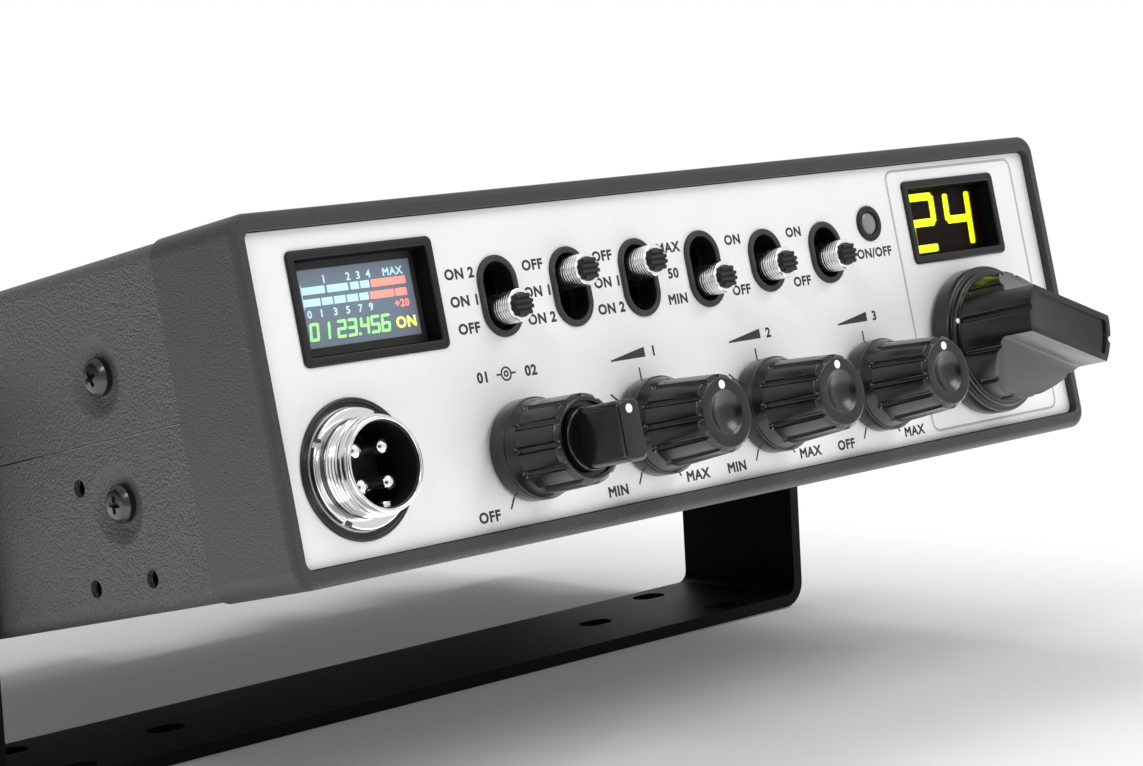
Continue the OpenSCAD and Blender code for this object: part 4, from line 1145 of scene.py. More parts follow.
@dataclass(frozen=True)
class Screws:
    """All cross-recessed pan screws of the case, the boards and the rear sockets."""

    head_r: float = 3.2
    head_h: float = 2.0
    shank_r: float = 1.5
    shank: float = 4.4
    recess: float = 3.3
    arm: float = 0.85
    deep: float = 1.15
    seed: int = 7

    def template(self) -> Shape:
        """One screw along +z with its seat at the origin.

        Returns:
            A shape in local millimetres.
        """
        profile = fillet(
            [
                (0, -self.shank, 0), (self.shank_r, -self.shank, 0.3), (self.shank_r, 0, 0.1), (self.head_r, 0, 0.15),
                (self.head_r, 0.45 * self.head_h, 0.35), (0.72 * self.head_r, 0.9 * self.head_h, 0.9),
                (0, self.head_h, 0),
            ],
            False,
        )
        head = Shape().revolve(profile, 48)
        for turn in (0.7, 90.7):
            rings = []
            for share, height in ((0.55, self.head_h - self.deep), (1.08, self.head_h + 0.4)):
                outline = rounded_rectangle(self.recess * share, self.arm * (0.6 + 0.4 * share), 0.18 * share, 3)
                rings.append([(x, y, height) for x, y in outline])
            head = head.minus(Shape().rings(rings).move(spin(turn)))
        return head

    def seats(self) -> list[tuple[Vector, Vector]]:
        """Finds every screw of the CAD node.

        Returns:
            The seat and the head's direction of each screw, in panel millimetres.
        """
        shape = cad_shape("machine_screws")
        shape.move(ON_PANEL.inverted())
        left = set(shape.bm.verts)
        found = []
        while left:
            island, edge = set(), [left.pop()]
            while edge:
                vert = edge.pop()
                island.add(vert)
                for link in vert.link_edges:
                    other = link.other_vert(vert)
                    if other in left:
                        left.discard(other)
                        edge.append(other)
            points = np.array([v.co for v in island])
            low, high = points.min(0), points.max(0)
            axis = int(np.argmax(high - low))
            middle = (low + high) / 2
            off = np.delete(points - middle, axis, 1)
            widest = points[np.argmax((off ** 2).sum(1))]
            sign = 1.0 if widest[axis] > middle[axis] else -1.0
            seat = middle.copy()
            seat[axis] = (high if sign > 0 else low)[axis] - sign * self.head_h
            way = np.zeros(3)
            way[axis] = sign
            found.append((Vector(seat), Vector(way)))
        shape.bm.free()
        return sorted(found, key=lambda pair: tuple(round(c, 3) for c in pair[0]))

    def build(self) -> None:
        """Builds all screws as one piece."""
        seats = self.seats()
        base = bpy.data.meshes.new("seats")
        base.from_pydata([seat for seat, _ in seats], [], [])
        axes = base.attributes.new("axis", "FLOAT_VECTOR", "POINT")
        axes.data.foreach_set("vector", [c for _, way in seats for c in way])
        single = self.template().loose("screw_template")
        mesh = fastener_tree().mesh(Coat.SCREW, {"Fastener": single, "Seed": self.seed}, base)
        bpy.data.objects.remove(single)
        shape = Shape().take_mesh(mesh, ON_PANEL)
        shape.piece("cross_recess_screws", "radio", Coat.SCREW, "screw_black", ["machine_screws"])


@dataclass(frozen=True)
class Frame:
    """A raised frame round an opening, skinned from rounded outlines."""

    band: float = 1.5
    rise: float = 0.5
    neck_inset: float = 0.8
    neck: float = 3.0
    soft: float = 0.3
    sleeve_t: float = 0.12

    def profile(self) -> Loop:
        """The section as inset and height pairs, from the neck's back round the front to the inside."""
        return fillet(
            [
                (self.neck_inset, -self.neck, 0), (self.neck_inset, 0, 0), (0, 0, 0),
                (0, self.rise, self.soft), (self.band, self.rise, self.soft * 0.8), (self.band, -self.neck, 0),
            ],
            True, 5,
        )

    def shape(self, outline: Callable[[float], Loop]) -> Shape:
        """Skins the section along an outline.

        Args:
            outline: gives the outline at an inset.
        Returns:
            The frame in local millimetres.
        """
        rings = [[(x, y, z) for x, y in outline(inset)] for inset, z in self.profile()]
        return Shape().rings(rings, around=True)

    def sleeve(self, outline: Callable[[float], Loop]) -> Shape:
        """A darker, duller layer over the frame's inner wall, along the same outline: painted shade inside the opening.

        Args:
            outline: gives the outline at an inset.
        Returns:
            The sleeve in local millimetres.
        """
        inner, front = self.band + self.sleeve_t, self.rise - self.soft
        section = [(self.band, -self.neck), (self.band, front), (inner, front), (inner, -self.neck)]
        rings = [[(x, y, z) for x, y in outline(inset)] for inset, z in section]
        return Shape().rings(rings, around=True)


@dataclass(frozen=True)
class SevenSegment:
    """Round-ended seven-segment figures."""

    width: float
    height: float
    stroke: float
    lean: float = 4.0
    gap: float = 0.12
    ends: float = 0.42

    LIT = {0: "abcdef", 1: "bc", 2: "abged", 3: "abgcd", 4: "fgbc", 5: "afgcd", 6: "afgedc", 7: "abc",
           8: "abcdefg", 9: "abcdfg"}

    def segments(self) -> dict[str, tuple[float, float, bool]]:
        """Middle of each segment and whether it is upright."""
        x, y = (self.width - self.stroke) / 2, (self.height - self.stroke) / 2
        return {"a": (0, y, False), "g": (0, 0, False), "d": (0, -y, False), "f": (-x, y / 2, True),
                "b": (x, y / 2, True), "e": (-x, -y / 2, True), "c": (x, -y / 2, True)}

    def figure(self, number: int, thick: float, lit: bool = True) -> Shape:
        """One figure.

        Args:
            number: the figure, from 0 to 9.
            thick: the segments' thickness in millimetres.
            lit: True for the segments that are lit, False for the others.
        Returns:
            The figure about the origin.
        """
        shape = Shape()
        for key, (x, y, upright) in self.segments().items():
            if (key in self.LIT[number]) != lit:
                continue
            long = (self.height - self.stroke) / 2 if upright else self.width - self.stroke
            long += self.stroke - 2 * self.gap - self.stroke * 0.35
            size = (self.stroke, long) if upright else (long, self.stroke)
            outline = rounded_rectangle(*size, self.stroke * self.ends, 4)
            shape.take(Shape().prism(outline, 0.0, thick), shift(x, y, 0))
        slant = Matrix.Identity(4)
        slant[0][1] = math.tan(math.radians(self.lean))
        return shape.move(slant)


@dataclass(frozen=True)
class Displays:
    """The colour meter display and the two-figure channel display."""

    frame: Frame = field(default_factory=Frame)
    corner: float = 1.1
    screen: tuple[float, float] = (23.2, 12.3)
    screen_at: tuple[float, float] = (-74.6, 13.55)
    face: float = -3.08
    thick: float = 0.03
    bar_h: float = 1.2
    upper_y: float = 2.83
    lower_y: float = 0.95
    top_words: tuple[float, float] = (4.45, 1.25)
    low_words: tuple[float, float] = (-0.8, 1.2)
    reading_y: float = -3.65
    axis_line: tuple[float, float] = (-11.5, -11.35)
    upper_bars: tuple[tuple[float, float, bool], ...] = (
        (-11.4, -6.65, True), (-6.2, -1.85, True), (-1.4, 0.4, True), (0.7, 2.6, True), (3.0, 10.2, False),
    )
    lower_bars: tuple[tuple[float, float, bool], ...] = (
        (-11.4, -8.0, True), (-7.7, -5.45, True), (-5.15, -2.8, True), (-2.5, -0.2, True), (0.1, 2.0, True),
        (2.35, 7.35, False), (7.7, 10.05, False),
    )

    def surround(self, node: str, name: str) -> tuple[Vector, float, float]:
        """Builds one raised frame and returns the opening's middle, width and height.

        Args:
            node: the frame's CAD node.
            name: the piece's name.
        Returns:
            The opening's middle, width and height.
        """
        low, high = PANEL.box(node)
        width, height = high[0] - low[0], high[1] - low[1]
        shape = self.frame.shape(
            lambda inset: rounded_rectangle(
                width - 2 * inset, height - 2 * inset, max(self.corner - 0.55 * inset, 0.25)
            )
        )
        middle = Vector(((low[0] + high[0]) / 2, (low[1] + high[1]) / 2, 0))
        shape.piece(name, "radio", Coat.BLACK, "black_plastic", [node], at(middle.x, middle.y), 40)
        # painted shade: a darker, duller layer over the frame's inner wall
        sleeve = self.frame.sleeve(lambda inset: rounded_rectangle(width - 2 * inset, height - 2 * inset, 0.3))
        sleeve.piece(f"{name}_sleeve", "radio", Coat.DEEP, "black_plastic", [node], at(middle.x, middle.y), 40)
        return middle, width - 2 * self.frame.band, height - 2 * self.frame.band

    def panes(self) -> None:
        """Builds the clear panes behind the frames."""
        shape = cad_shape("display_windows").bevel(0.12 * MM, 2)
        shape.piece("display_panes", "radio", Coat.WINDOW, "window_glass", ["display_windows"], merge=1e-3,
                    flat=True)

    def sheet(self, name: str, coat: Coat, size: tuple[float, float], place: Matrix) -> None:
        """Lays a thin sheet behind a window."""
        shape = Shape().prism(rounded_rectangle(*size, 0.2), 0, self.thick)
        shape.piece(name, "radio", coat, "black_plastic", matrix=place)

    def bars(self, y: float, spans: Sequence[tuple[float, float, bool]], white: bool) -> Shape:
        """The white or the red bars of one row.

        Args:
            y: the row's height.
            spans: start, end and whether white, for each bar.
            white: which colour to make.
        Returns:
            A shape in local millimetres.
        """
        shape = Shape()
        for first, last, is_white in spans:
            if is_white == white:
                shape.box((first, y - self.bar_h / 2, 0), (last, y + self.bar_h / 2, self.thick))
        return shape

    def words(self, words: Sequence[tuple[str, float, float, float]]) -> Shape:
        """Words on a display, each with its place and capital height.

        Args:
            words: text, x, y and capital height of each.
        Returns:
            A shape in local millimetres.
        """
        shape = Shape()
        for text, x, y, cap in words:
            shape.take(LETTERING.mesh(text, cap, 0.03), shift(x, y, 0))
        return shape

    def figures(self, style: SevenSegment, numbers: Sequence[tuple[int, float]], y: float) -> Shape:
        """Lit figures in a row, each with its place.

        Args:
            style: the figures' form.
            numbers: each figure and its x.
            y: the row's height.
        Returns:
            A shape in local millimetres.
        """
        shape = Shape()
        for number, x in numbers:
            shape.take(style.figure(number, self.thick), shift(x, y, 0))
        return shape

    def meter(self, middle: Vector, width: float, height: float) -> None:
        """Builds the meter's picture: two bar rows, their numbers and a plain reading.

        Args:
            middle: the opening's middle.
            width: its width.
            height: its height.
        """
        self.sheet("meter_mask", Coat.MASK, (width, height), at(middle.x, middle.y, self.face))
        place = at(*self.screen_at, self.face) @ shift(0, 0, 1.5 * self.thick)
        self.sheet("meter_screen", Coat.SCREEN, self.screen, place)
        lifted = place @ shift(0, 0, 1.5 * self.thick)
        upper, lower = self.upper_y, self.lower_y
        white = self.bars(upper, self.upper_bars, True).take(self.bars(lower, self.lower_bars, True))
        white.box((self.axis_line[0], lower - 1.0, 0), (self.axis_line[1], upper + 1.0, self.thick))
        marks = [(str(k + 1), x, *self.top_words) for k, x in enumerate((-6.5, -1.5, 0.6, 2.7))]
        marks += [(str(2 * k + 1), x, *self.low_words) for k, x in enumerate((-8.15, -5.3, -2.7, -0.1, 2.1))]
        marks += [("MAX", 7.9, *self.top_words), ("0", -10.6, *self.low_words)]
        white.take(self.words(marks))
        white.piece("meter_white_marks", "radio", Coat.LIT_WHITE, "lens_plastic", matrix=lifted)
        red = self.bars(upper, self.upper_bars, False).take(self.bars(lower, self.lower_bars, False))
        red.take(self.words([("+20", 8.7, *self.low_words)]))
        red.piece("meter_red_marks", "radio", Coat.LIT_RED, "lens_plastic", matrix=lifted)
        style = SevenSegment(1.85, 2.8, 0.4, 8.0, 0.02)
        places = (-10.3, -8.0, -4.7, -2.5, 0.1, 2.3, 4.5)
        green = self.figures(style, list(enumerate(places)), self.reading_y)
        green.box((-1.35, -5.05, 0), (-0.95, -4.65, self.thick))
        green.piece("meter_green_figures", "radio", Coat.LIT_GREEN, "lens_plastic", matrix=lifted)
        yellow = self.words([("ON", 8.8, -3.85, 1.75)])
        yellow.piece("meter_yellow_sign", "radio", Coat.LIT_YELLOW, "lens_plastic", matrix=lifted)

    def channel(self, middle: Vector, width: float, height: float) -> None:
        """Builds the channel display's two figures on a dark field.

        Args:
            middle: the opening's middle.
            width: its width.
            height: its height.
        """
        place = at(middle.x, middle.y, self.face)
        self.sheet("channel_field", Coat.DIGIT_FIELD, (width, height), place)
        style = SevenSegment(8.2, 11.4, 1.5, 4.0, 0.35, 0.3)
        lit = self.figures(style, ((2, -5.4), (4, 5.6)), 0.0)
        lifted = place @ shift(0, 0, 2 * self.thick)
        lit.piece("channel_figures", "radio", Coat.DIGIT, "lens_plastic", matrix=lifted)

    def build(self) -> None:
        """Builds both displays."""
        self.meter(*self.surround("lcd_frame", "meter_surround"))
        self.channel(*self.surround("channel_window_frame", "channel_surround"))
        self.panes()


@dataclass(frozen=True)
class Switches:
    """Six slide switches: raised slot frames, ringed chrome barrels and ribbed black tips."""

    slot_w: float = 6.6
    band: float = 1.1
    long_span: float = 4.8
    short_span: float = 2.6
    long_count: int = 4
    barrel_r: float = 2.75
    tip_r: float = 2.0
    front: float = 5.6
    tip_l: float = 0.9
    ring_pitch: float = 0.56
    ring_depth: float = 0.035
    ribs: int = 4
    rib_r: float = 0.36
    foot: tuple[float, float, float] = (8.0, 7.0, 2.4)
    foot_front: float = -4.5

    def slot_places(self) -> list[tuple[float, float, float]]:
        """Middle and span of each slot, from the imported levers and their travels.

        Returns:
            x, y and span of each slot, in panel millimetres.
        """
        places = []
        for k in range(6):
            tip = PANEL.centre(f"lever_tip_{k + 1}")
            low, high = PANEL.joints[f"switch_{k + 1}_slide"]["range_m"]
            span = self.long_span if k < self.long_count else self.short_span
            places.append((tip.x, tip.y + (low + high) / 2 / MM, span))
        return places

    def frames(self) -> None:
        """Builds the six slot frames, and darker, duller layers inside them that paint shade into the slots."""
        section = Frame(band=self.band, neck_inset=0.4)
        shape, shade_liners = Shape(), Shape()
        for x, y, span in self.slot_places():
            wide = self.slot_w + 2 * self.band

            def outline(inset: float) -> Loop:
                """The slot's outline at an inset."""
                return stadium(wide - 2 * inset, wide + span - 2 * inset)

            where = shift(x, y, 0)
            shape.take(section.shape(outline), where)
            # painted shade: a darker, duller layer over each slot frame's inner wall
            shade_liners.take(section.sleeve(outline), where)
        shape.piece("slot_frames", "radio", Coat.TRIM, "black_plastic", ["panel_trims"], ON_PANEL, 40)
        shade_liners.piece("slot_sleeves", "radio", Coat.DEEP, "black_plastic", ["panel_trims"], ON_PANEL, 40)

    def barrel(self) -> Shape:
        """One ringed barrel about the origin.

        Returns:
            A shape in local millimetres.
        """
        front, back = self.front - self.tip_l, self.foot_front
        bore = self.tip_r + 0.02
        corners = [(0, back, 0.0), (self.barrel_r, back, 0.0)]
        height = back + 2.2
        while height < front - 0.7:
            low = self.barrel_r - self.ring_depth
            corners += [
                (self.barrel_r, height, 0.04), (low, height + 0.3 * self.ring_pitch, 0.04),
                (low, height + 0.4 * self.ring_pitch, 0.04), (self.barrel_r, height + 0.7 * self.ring_pitch, 0.04),
            ]
            height += self.ring_pitch
        corners += [
            (self.barrel_r, front, 0.22), (bore, front, 0.08), (bore, front - self.tip_l, 0.0),
            (0, front - self.tip_l, 0.0),
        ]
        return Shape().revolve(fillet(corners, False, 3), 64)

    def tip(self) -> Shape:
        """One ribbed tip about the origin.

        Returns:
            A shape in local millimetres.
        """
        floor = self.front - self.rib_r
        profile = fillet(
            [(0, self.front - 2 * self.tip_l, 0), (self.tip_r, self.front - 2 * self.tip_l, 0),
             (self.tip_r, floor, 0.2), (0, floor, 0)],
            False,
        )
        shape = Shape().revolve(profile, 48)
        ribs = rib_tree().mesh(Coat.BLACK, {
            "Count": self.ribs, "Pitch": 2 * self.tip_r / (self.ribs + 0.35), "Disc": self.tip_r, "Rib": self.rib_r,
        })
        return shape.take_mesh(ribs, shift(0, 0, floor))

    def build(self) -> None:
        """Builds the frames and the six levers."""
        self.frames()
        half = Vector(self.foot) / 2
        for k in range(6):
            middle = PANEL.centre(f"lever_tip_{k + 1}")
            place, body = at(middle.x, middle.y), f"switch_{k + 1}"
            node = f"lever_{k + 1}"
            self.barrel().piece(f"{node}_barrel", body, Coat.SATIN_CHROME, "chrome_plate", [node], place, 30)
            foot = Shape().box((-half.x, -half.y, self.foot_front - self.foot[2]), (half.x, half.y, self.foot_front))
            foot.bevel(0.3, 2)
            foot.piece(f"{node}_foot", body, Coat.DEEP, "black_plastic", [node], place)
            self.tip().piece(f"{node}_cap", body, Coat.BLACK, "black_plastic", [f"lever_tip_{k + 1}"], place, 40)


@dataclass(frozen=True)
class Lamp:
    """The round status lamp: a dark ring and a domed lens."""

    ring_r: float = 3.3
    lens_r: float = 2.1
    rise: float = 0.5
    back: float = -4.2

    def build(self) -> None:
        """Builds the ring and the lens."""
        middle = PANEL.centre("lamp_lens")
        place = at(middle.x, middle.y)
        ring = fillet(
            [(self.lens_r + 0.02, -3, 0), (self.ring_r - 0.7, -3, 0), (self.ring_r - 0.7, 0, 0), (self.ring_r, 0, 0),
             (self.ring_r, self.rise, 0.3), (self.lens_r + 0.02, self.rise, 0.2)],
            True,
        )
        Shape().revolve(ring, 64, True).piece("lamp_ring", "radio", Coat.BLACK, "black_plastic", ["panel_trims"], place)
        dome = [(0, self.back), (self.lens_r, self.back), (self.lens_r, 0.0)]
        dome += [
            (self.lens_r * math.cos(a), 0.4 * math.sin(a))
            for a in (math.radians(d) for d in (15, 30, 45, 60, 75))
        ]
        dome.append((0, 0.4))
        Shape().revolve(dome, 64).piece("lamp_dome", "radio", Coat.LENS, "lens_plastic", ["lamp_lens"], place)


@dataclass(frozen=True)
class MicSocket:
    """The four-pole microphone socket."""

    ring_r: float = 11.25
    ring_t: float = 0.5
    lip: float = 0.75
    notch_turn: float = 58.0
    nut_r: float = 9.6
    nut_t: float = 1.4
    thread_r: float = 7.9
    rim_r: float = 7.55
    bore_r: float = 6.85
    front: float = 7.0
    floor: float = -3.0
    back: float = -11.2
    crest: float = 0.33
    turns: float = 6.0
    rim_l: float = 1.0
    pin_r: float = 1.25
    pin_circle: float = 4.0
    pin_tip: float = 4.0
    notches: int = 4
    notch: tuple[float, float, float] = (0.7, 0.75, 1.0)
    key: tuple[float, float, float] = (0.8, 1.2, 1.6)
    ridge: tuple[float, float, float] = (8.6, 2.9, 1.6)

    def nut(self) -> Shape:
        """The notched ring nut.

        Returns:
            A shape in local millimetres.
        """
        inner = self.thread_r - 0.48
        ring = fillet(
            [(inner, 0, 0), (self.nut_r, 0, 0.1), (self.nut_r, self.nut_t, 0.3), (inner, self.nut_t, 0.25)], True
        )
        notches = Shape()
        inward, half, deep = self.notch
        for k in range(self.notches):
            block = Shape().box((self.nut_r - inward, -half, self.nut_t - deep), (self.nut_r + 1, half, self.nut_t + 1))
            notches.take(block, spin(self.notch_turn + 360 / self.notches * k))
        return Shape().revolve(ring, 96, True).minus(notches)

    def shell(self) -> Shape:
        """The threaded shell with its key and a smooth front rim.

        Returns:
            A shape in local millimetres.
        """
        core = self.thread_r - 0.5
        rim = self.front - self.rim_l
        profile = fillet(
            [(self.bore_r, self.back, 0), (self.rim_r, self.back, 0.2), (self.rim_r, 0, 0.05), (core, 0.1, 0.05),
             (core, rim, 0.1), (self.rim_r, rim + 0.15, 0.1), (self.rim_r, self.front, 0.3),
             (self.bore_r, self.front, 0.2)],
            True,
        )
        shape = Shape().revolve(profile, 96, True)
        start = self.nut_t + 0.2
        ridge = thread_tree().mesh(Coat.CHROME, {
            "Radius": self.thread_r - self.crest, "Length": rim - start - 0.1, "Turns": self.turns,
            "Crest": self.crest,
        })
        shape.take_mesh(ridge, shift(0, 0, start))
        half, high, short = self.key
        key = Shape().box((-half, -self.bore_r - 0.05, self.floor), (half, -self.bore_r + high, self.front - short))
        return shape.take(key.bevel(0.2, 2))

    def lining(self) -> Shape:
        """A thin dull black layer over the shell's chrome bore, from the insert to near the front, which makes the bore
        dark.

        Returns:
            A shape in local millimetres.
        """
        outer, inner = self.bore_r - 0.01, self.bore_r - 0.2
        front = self.front - 0.5
        section = [(inner, self.floor), (outer, self.floor), (outer, front), (inner, front - 0.1)]
        return Shape().revolve(section, 96, True)

    def insert(self) -> Shape:
        """The insulating insert."""
        profile = fillet(
            [(0, self.back, 0), (self.bore_r - 0.02, self.back, 0), (self.bore_r - 0.02, self.floor, 0.3),
             (0, self.floor, 0)],
            False,
        )
        return Shape().revolve(profile, 64)

    def ridges(self) -> Shape:
        """A low ridge across each pair of pins.

        Returns:
            A shape in local millimetres.
        """
        shape = Shape()
        across = self.pin_circle * math.sqrt(0.5)
        length, width, high = self.ridge
        for sign in (-1, 1):
            ridge = Shape().prism(rounded_rectangle(length, width, 1.2), self.floor - 0.1, self.floor + high)
            shape.take(ridge.bevel(0.3, 2), shift(0, sign * across, 0))
        return shape

    def pins(self) -> Shape:
        """Four domed contact pins.

        Returns:
            A shape in local millimetres.
        """
        tip, r = self.pin_tip, self.pin_r
        profile = fillet(
            [(0, self.back - 3, 0), (r, self.back - 3, 0.2), (r, tip - 0.35, 0.5), (0.5, tip, 0.6), (0, tip, 0)], False
        )
        shape = Shape()
        for k in range(4):
            turn = math.radians(45 + 90 * k)
            where = shift(self.pin_circle * math.cos(turn), self.pin_circle * math.sin(turn), 0)
            shape.take(Shape().revolve(profile, 40), where)
        return shape

    def build(self) -> None:
        """Builds the socket's pieces."""
        middle = PANEL.centre("mic_socket_ring")
        place = at(middle.x, middle.y)
        inner, lip = self.nut_r + 0.2, self.ring_r - self.lip
        ring = fillet(
            [(inner, 0, 0), (self.ring_r, 0, 0), (self.ring_r, self.ring_t, 0.28), (lip, self.ring_t, 0.25),
             (lip - 0.15, self.ring_t * 0.4, 0.05), (inner, self.ring_t * 0.4, 0.05)],
            True, 5,
        )
        trim = Shape().revolve(ring, 96, True)
        trim.piece("socket_trim_ring", "radio", Coat.KNOB, "black_plastic", ["mic_socket_ring"], place)
        self.nut().piece("socket_ring_nut", "radio", Coat.CHROME, "chrome_plate", ["mic_socket_nut"], place)
        self.shell().piece("socket_threaded_shell", "radio", Coat.CHROME, "chrome_plate", ["mic_socket_shell"], place)
        self.insert().piece("socket_insert", "radio", Coat.CASE, "black_plastic", ["mic_socket_insert"], place)
        self.ridges().piece("socket_ridges", "radio", Coat.TRIM, "black_plastic", ["mic_socket_insert"], place)
        self.lining().piece("socket_lining", "radio", Coat.BLACK, "black_plastic", ["mic_socket_shell"], place)
        self.pins().piece("socket_pins", "radio", Coat.SATIN_CHROME, "plated_brass", ["mic_socket_pins"], place)


class Knob(Enum):
    """The small knobs: node, joint and body."""

    VOLUME = ("volume_knob", "volume_turn", "volume")
    MIC_GAIN = ("mic_gain_knob", "mic_gain_turn", "mic_gain")
    RF_GAIN = ("rf_gain_knob", "rf_gain_turn", "rf_gain")
    TALKBACK = ("talkback_knob", "talkback_turn", "talkback")


@dataclass(frozen=True)
class SmallKnobs:
    """The volume knob with its squelch wing, and the three gain knobs."""

    lift: float = 0.5
    skirt_r: float = 8.4
    skirt_h: float = 3.9
    shoulder_l: float = 2.3
    gain_r: tuple[float, float] = (7.4, 6.6)
    gain_h: float = 17.9
    volume_r: tuple[float, float] = (7.7, 7.4)
    volume_h: float = 15.3
    edge: float = 0.8
    dish_r: float = 3.8
    dish: float = 1.2
    shaft_r: float = 3.02
    grooves: int = 12
    groove_r: float = 0.65
    dot_r: float = 0.72
    dot_t: float = 0.04
    well_r: float = 6.1
    well: float = 1.2
    wing: tuple[float, float] = (5.0, 9.9)
    wing_h: float = 24.9
    disc_r: float = 5.3
    inner_shaft_r: float = 2.02
    inner_r: float = 2.3
    bore_end: float = 5.0
    gain_dot: float = 4.75
    wing_dot: float = 3.4

    def groove_start(self) -> float:
        """Height at which the grooves begin, in the shoulder."""
        return self.skirt_h + 0.75 * self.shoulder_l

    def groove_limit(self, height: float, radii: tuple[float, float]) -> Callable[[float, float], float]:
        """What the grooves leave of a knob.

        Args:
            height: the knob's height.
            radii: the body's radius behind and in front.
        Returns:
            The largest radius at an angle and a height.
        """
        first, body = self.groove_start(), self.skirt_h + self.shoulder_l
        step = 2 * math.pi / self.grooves

        def limit(angle: float, z: float) -> float:
            """The radius left at an angle and a height.

            Args:
                angle: in radians.
                z: the height.
            Returns:
                The radius.
            """
            axis = radii[0] + (radii[1] - radii[0]) * (z - body) / (height - body)
            off = ((angle + step / 2) % step - step / 2) * axis
            past = max(first + self.groove_r - z, 0.0)
            inside = self.groove_r ** 2 - off ** 2 - past ** 2
            return axis - math.sqrt(inside) if inside > 0 else self.skirt_r

        return limit

    def turns(self) -> list[float]:
        """Angles round a knob, close together across each groove.

        Returns:
            The angles in radians.
        """
        step = 2 * math.pi / self.grooves
        half = self.groove_r / self.gain_r[1]
        across = [-1.0, -0.93, -0.85, -0.65, -0.35, 0.0, 0.35, 0.65, 0.85, 0.93, 1.0]
        lands = [half + (step - 2 * half) * share for share in (0.05, 0.2, 0.35, 0.5, 0.65, 0.8, 0.95)]
        return [k * step + off for k in range(self.grooves) for off in [half * a for a in across] + lands]

    def outside(self, height: float, radii: tuple[float, float]) -> Loop:
        """The outer profile from the skirt's back edge to the face's edge.

        Args:
            height: the knob's height.
            radii: the body's radius behind and in front.
        Returns:
            Radius and height pairs.
        """
        back_r, front_r = radii
        body, first, top = self.skirt_h + self.shoulder_l, self.groove_start(), height - self.edge
        corners = [
            (self.skirt_r, self.lift, 0.25), (self.skirt_r, self.skirt_h, 0.15),
            (self.skirt_r - 0.22, self.skirt_h + 0.02, 0.05), (self.skirt_r - 0.25, self.skirt_h + 0.3, 0.2),
        ]
        slope = (back_r - self.skirt_r + 0.25) / (self.shoulder_l - 0.3)
        for z in (first - 0.05, first + 0.05, first + 0.2, first + 0.4):
            corners.append((self.skirt_r - 0.25 + slope * (z - self.skirt_h - 0.3), z, 0.0))
        corners.append((back_r, body, 0.12))
        corners += [(back_r + (front_r - back_r) * part, body + (top - body) * part, 0.0) for part in (0.1, 0.5, 0.9)]
        corners += [(front_r, top, 0.4), (front_r - self.edge, height, 0.4)]
        return fillet([(0, self.lift, 0)] + corners + [(0, height, 0)], False, 4)[1:-1]

    def gain(self, knob: Knob) -> None:
        """Builds one gain knob with a dished face and a white dot.

        Args:
            knob: which knob.
        """
        node, joint, body = knob.value
        height = self.gain_h
        bore_end = height - self.bore_end
        profile = [(0, bore_end), (self.shaft_r, bore_end), (self.shaft_r, self.lift)]
        profile += self.outside(height, self.gain_r)
        sphere = (self.dish_r ** 2 + self.dish ** 2) / (2 * self.dish)
        profile += [(self.dish_r + 0.2, height), (self.dish_r + 0.07, height - 0.03)]
        for part in (0.97, 0.9, 0.8, 0.7, 0.6, 0.5, 0.4, 0.3, 0.2, 0.1, 0.0):
            r = self.dish_r * part
            profile.append((r, height - self.dish + sphere - math.sqrt(sphere ** 2 - r ** 2)))
        centre = PANEL.axis_point(joint)
        shape = Shape().revolve(profile, limit=self.groove_limit(height, self.gain_r), angles=self.turns())
        shape.piece(f"{node}_moulding", body, Coat.KNOB, "knob_plastic", [node], at(centre.x, centre.y), 38)
        self.dot(node, body, centre, self.gain_dot, height)

    def dot(self, node: str, body: str, centre: Vector, up: float, height: float) -> None:
        """Adds the white mark of a knob."""
        dot = Shape().revolve([(0, -0.2), (self.dot_r, -0.2), (self.dot_r, self.dot_t), (0, self.dot_t)], 40)
        dot.piece(f"{node}_mark", body, Coat.WHITE_INK, "white_insulator", matrix=at(centre.x, centre.y + up, height))

    def volume(self) -> None:
        """Builds the volume knob, which is hollow for the squelch shaft."""
        node, joint, body = Knob.VOLUME.value
        height, deck = self.volume_h, self.volume_h - self.well
        inner = self.inner_r
        profile = [(inner, deck), (inner, self.lift)] + self.outside(height, self.volume_r)
        profile += fillet([(self.well_r + 0.4, height, 0), (self.well_r, height, 0.15), (self.well_r, deck, 0.1),
                           (inner + 0.5, deck, 0)], False)
        centre = PANEL.axis_point(joint)
        limit = self.groove_limit(height, self.volume_r)
        shape = Shape().revolve(profile, around=True, limit=limit, angles=self.turns())
        shape.piece(f"{node}_moulding", body, Coat.KNOB, "knob_plastic", [node], at(centre.x, centre.y), 38)

    def squelch(self) -> None:
        """Builds the squelch knob: a disc with a flat wing."""
        centre = PANEL.axis_point("squelch_turn")
        low, high = self.volume_h - self.well + 0.4, self.volume_h + 0.4
        bore = self.inner_shaft_r
        disc = fillet([(bore, low, 0), (self.disc_r, low, 0.2), (self.disc_r, high, 0.3), (bore, high, 0)], True)
        shape = Shape().revolve(disc, 72, True)
        width, length = self.wing
        root, top = high - 0.3, self.wing_h
        section = fillet([(1.2, root, 0), (0, root, 0), (0, top, 0.6), (2, top, 0)], False, 5)
        rings = []
        for inset, z in section[1:-1]:
            outline = rounded_rectangle(width - 2 * inset, length - 2 * inset, max(1.2 - inset * 0.5, 0.3))
            rings.append([(x, y, z) for x, y in outline])
        shape.take(Shape().rings(rings))
        shape.piece("squelch_knob_wing", "squelch", Coat.KNOB, "knob_plastic", ["squelch_knob"],
                    at(centre.x, centre.y), 32)
        self.dot("squelch_knob", "squelch", centre, self.wing_dot, self.wing_h)

    def build(self) -> None:
        """Builds all small knobs."""
        self.volume()
        self.squelch()
        for knob in (Knob.MIC_GAIN, Knob.RF_GAIN, Knob.TALKBACK):
            self.gain(knob)


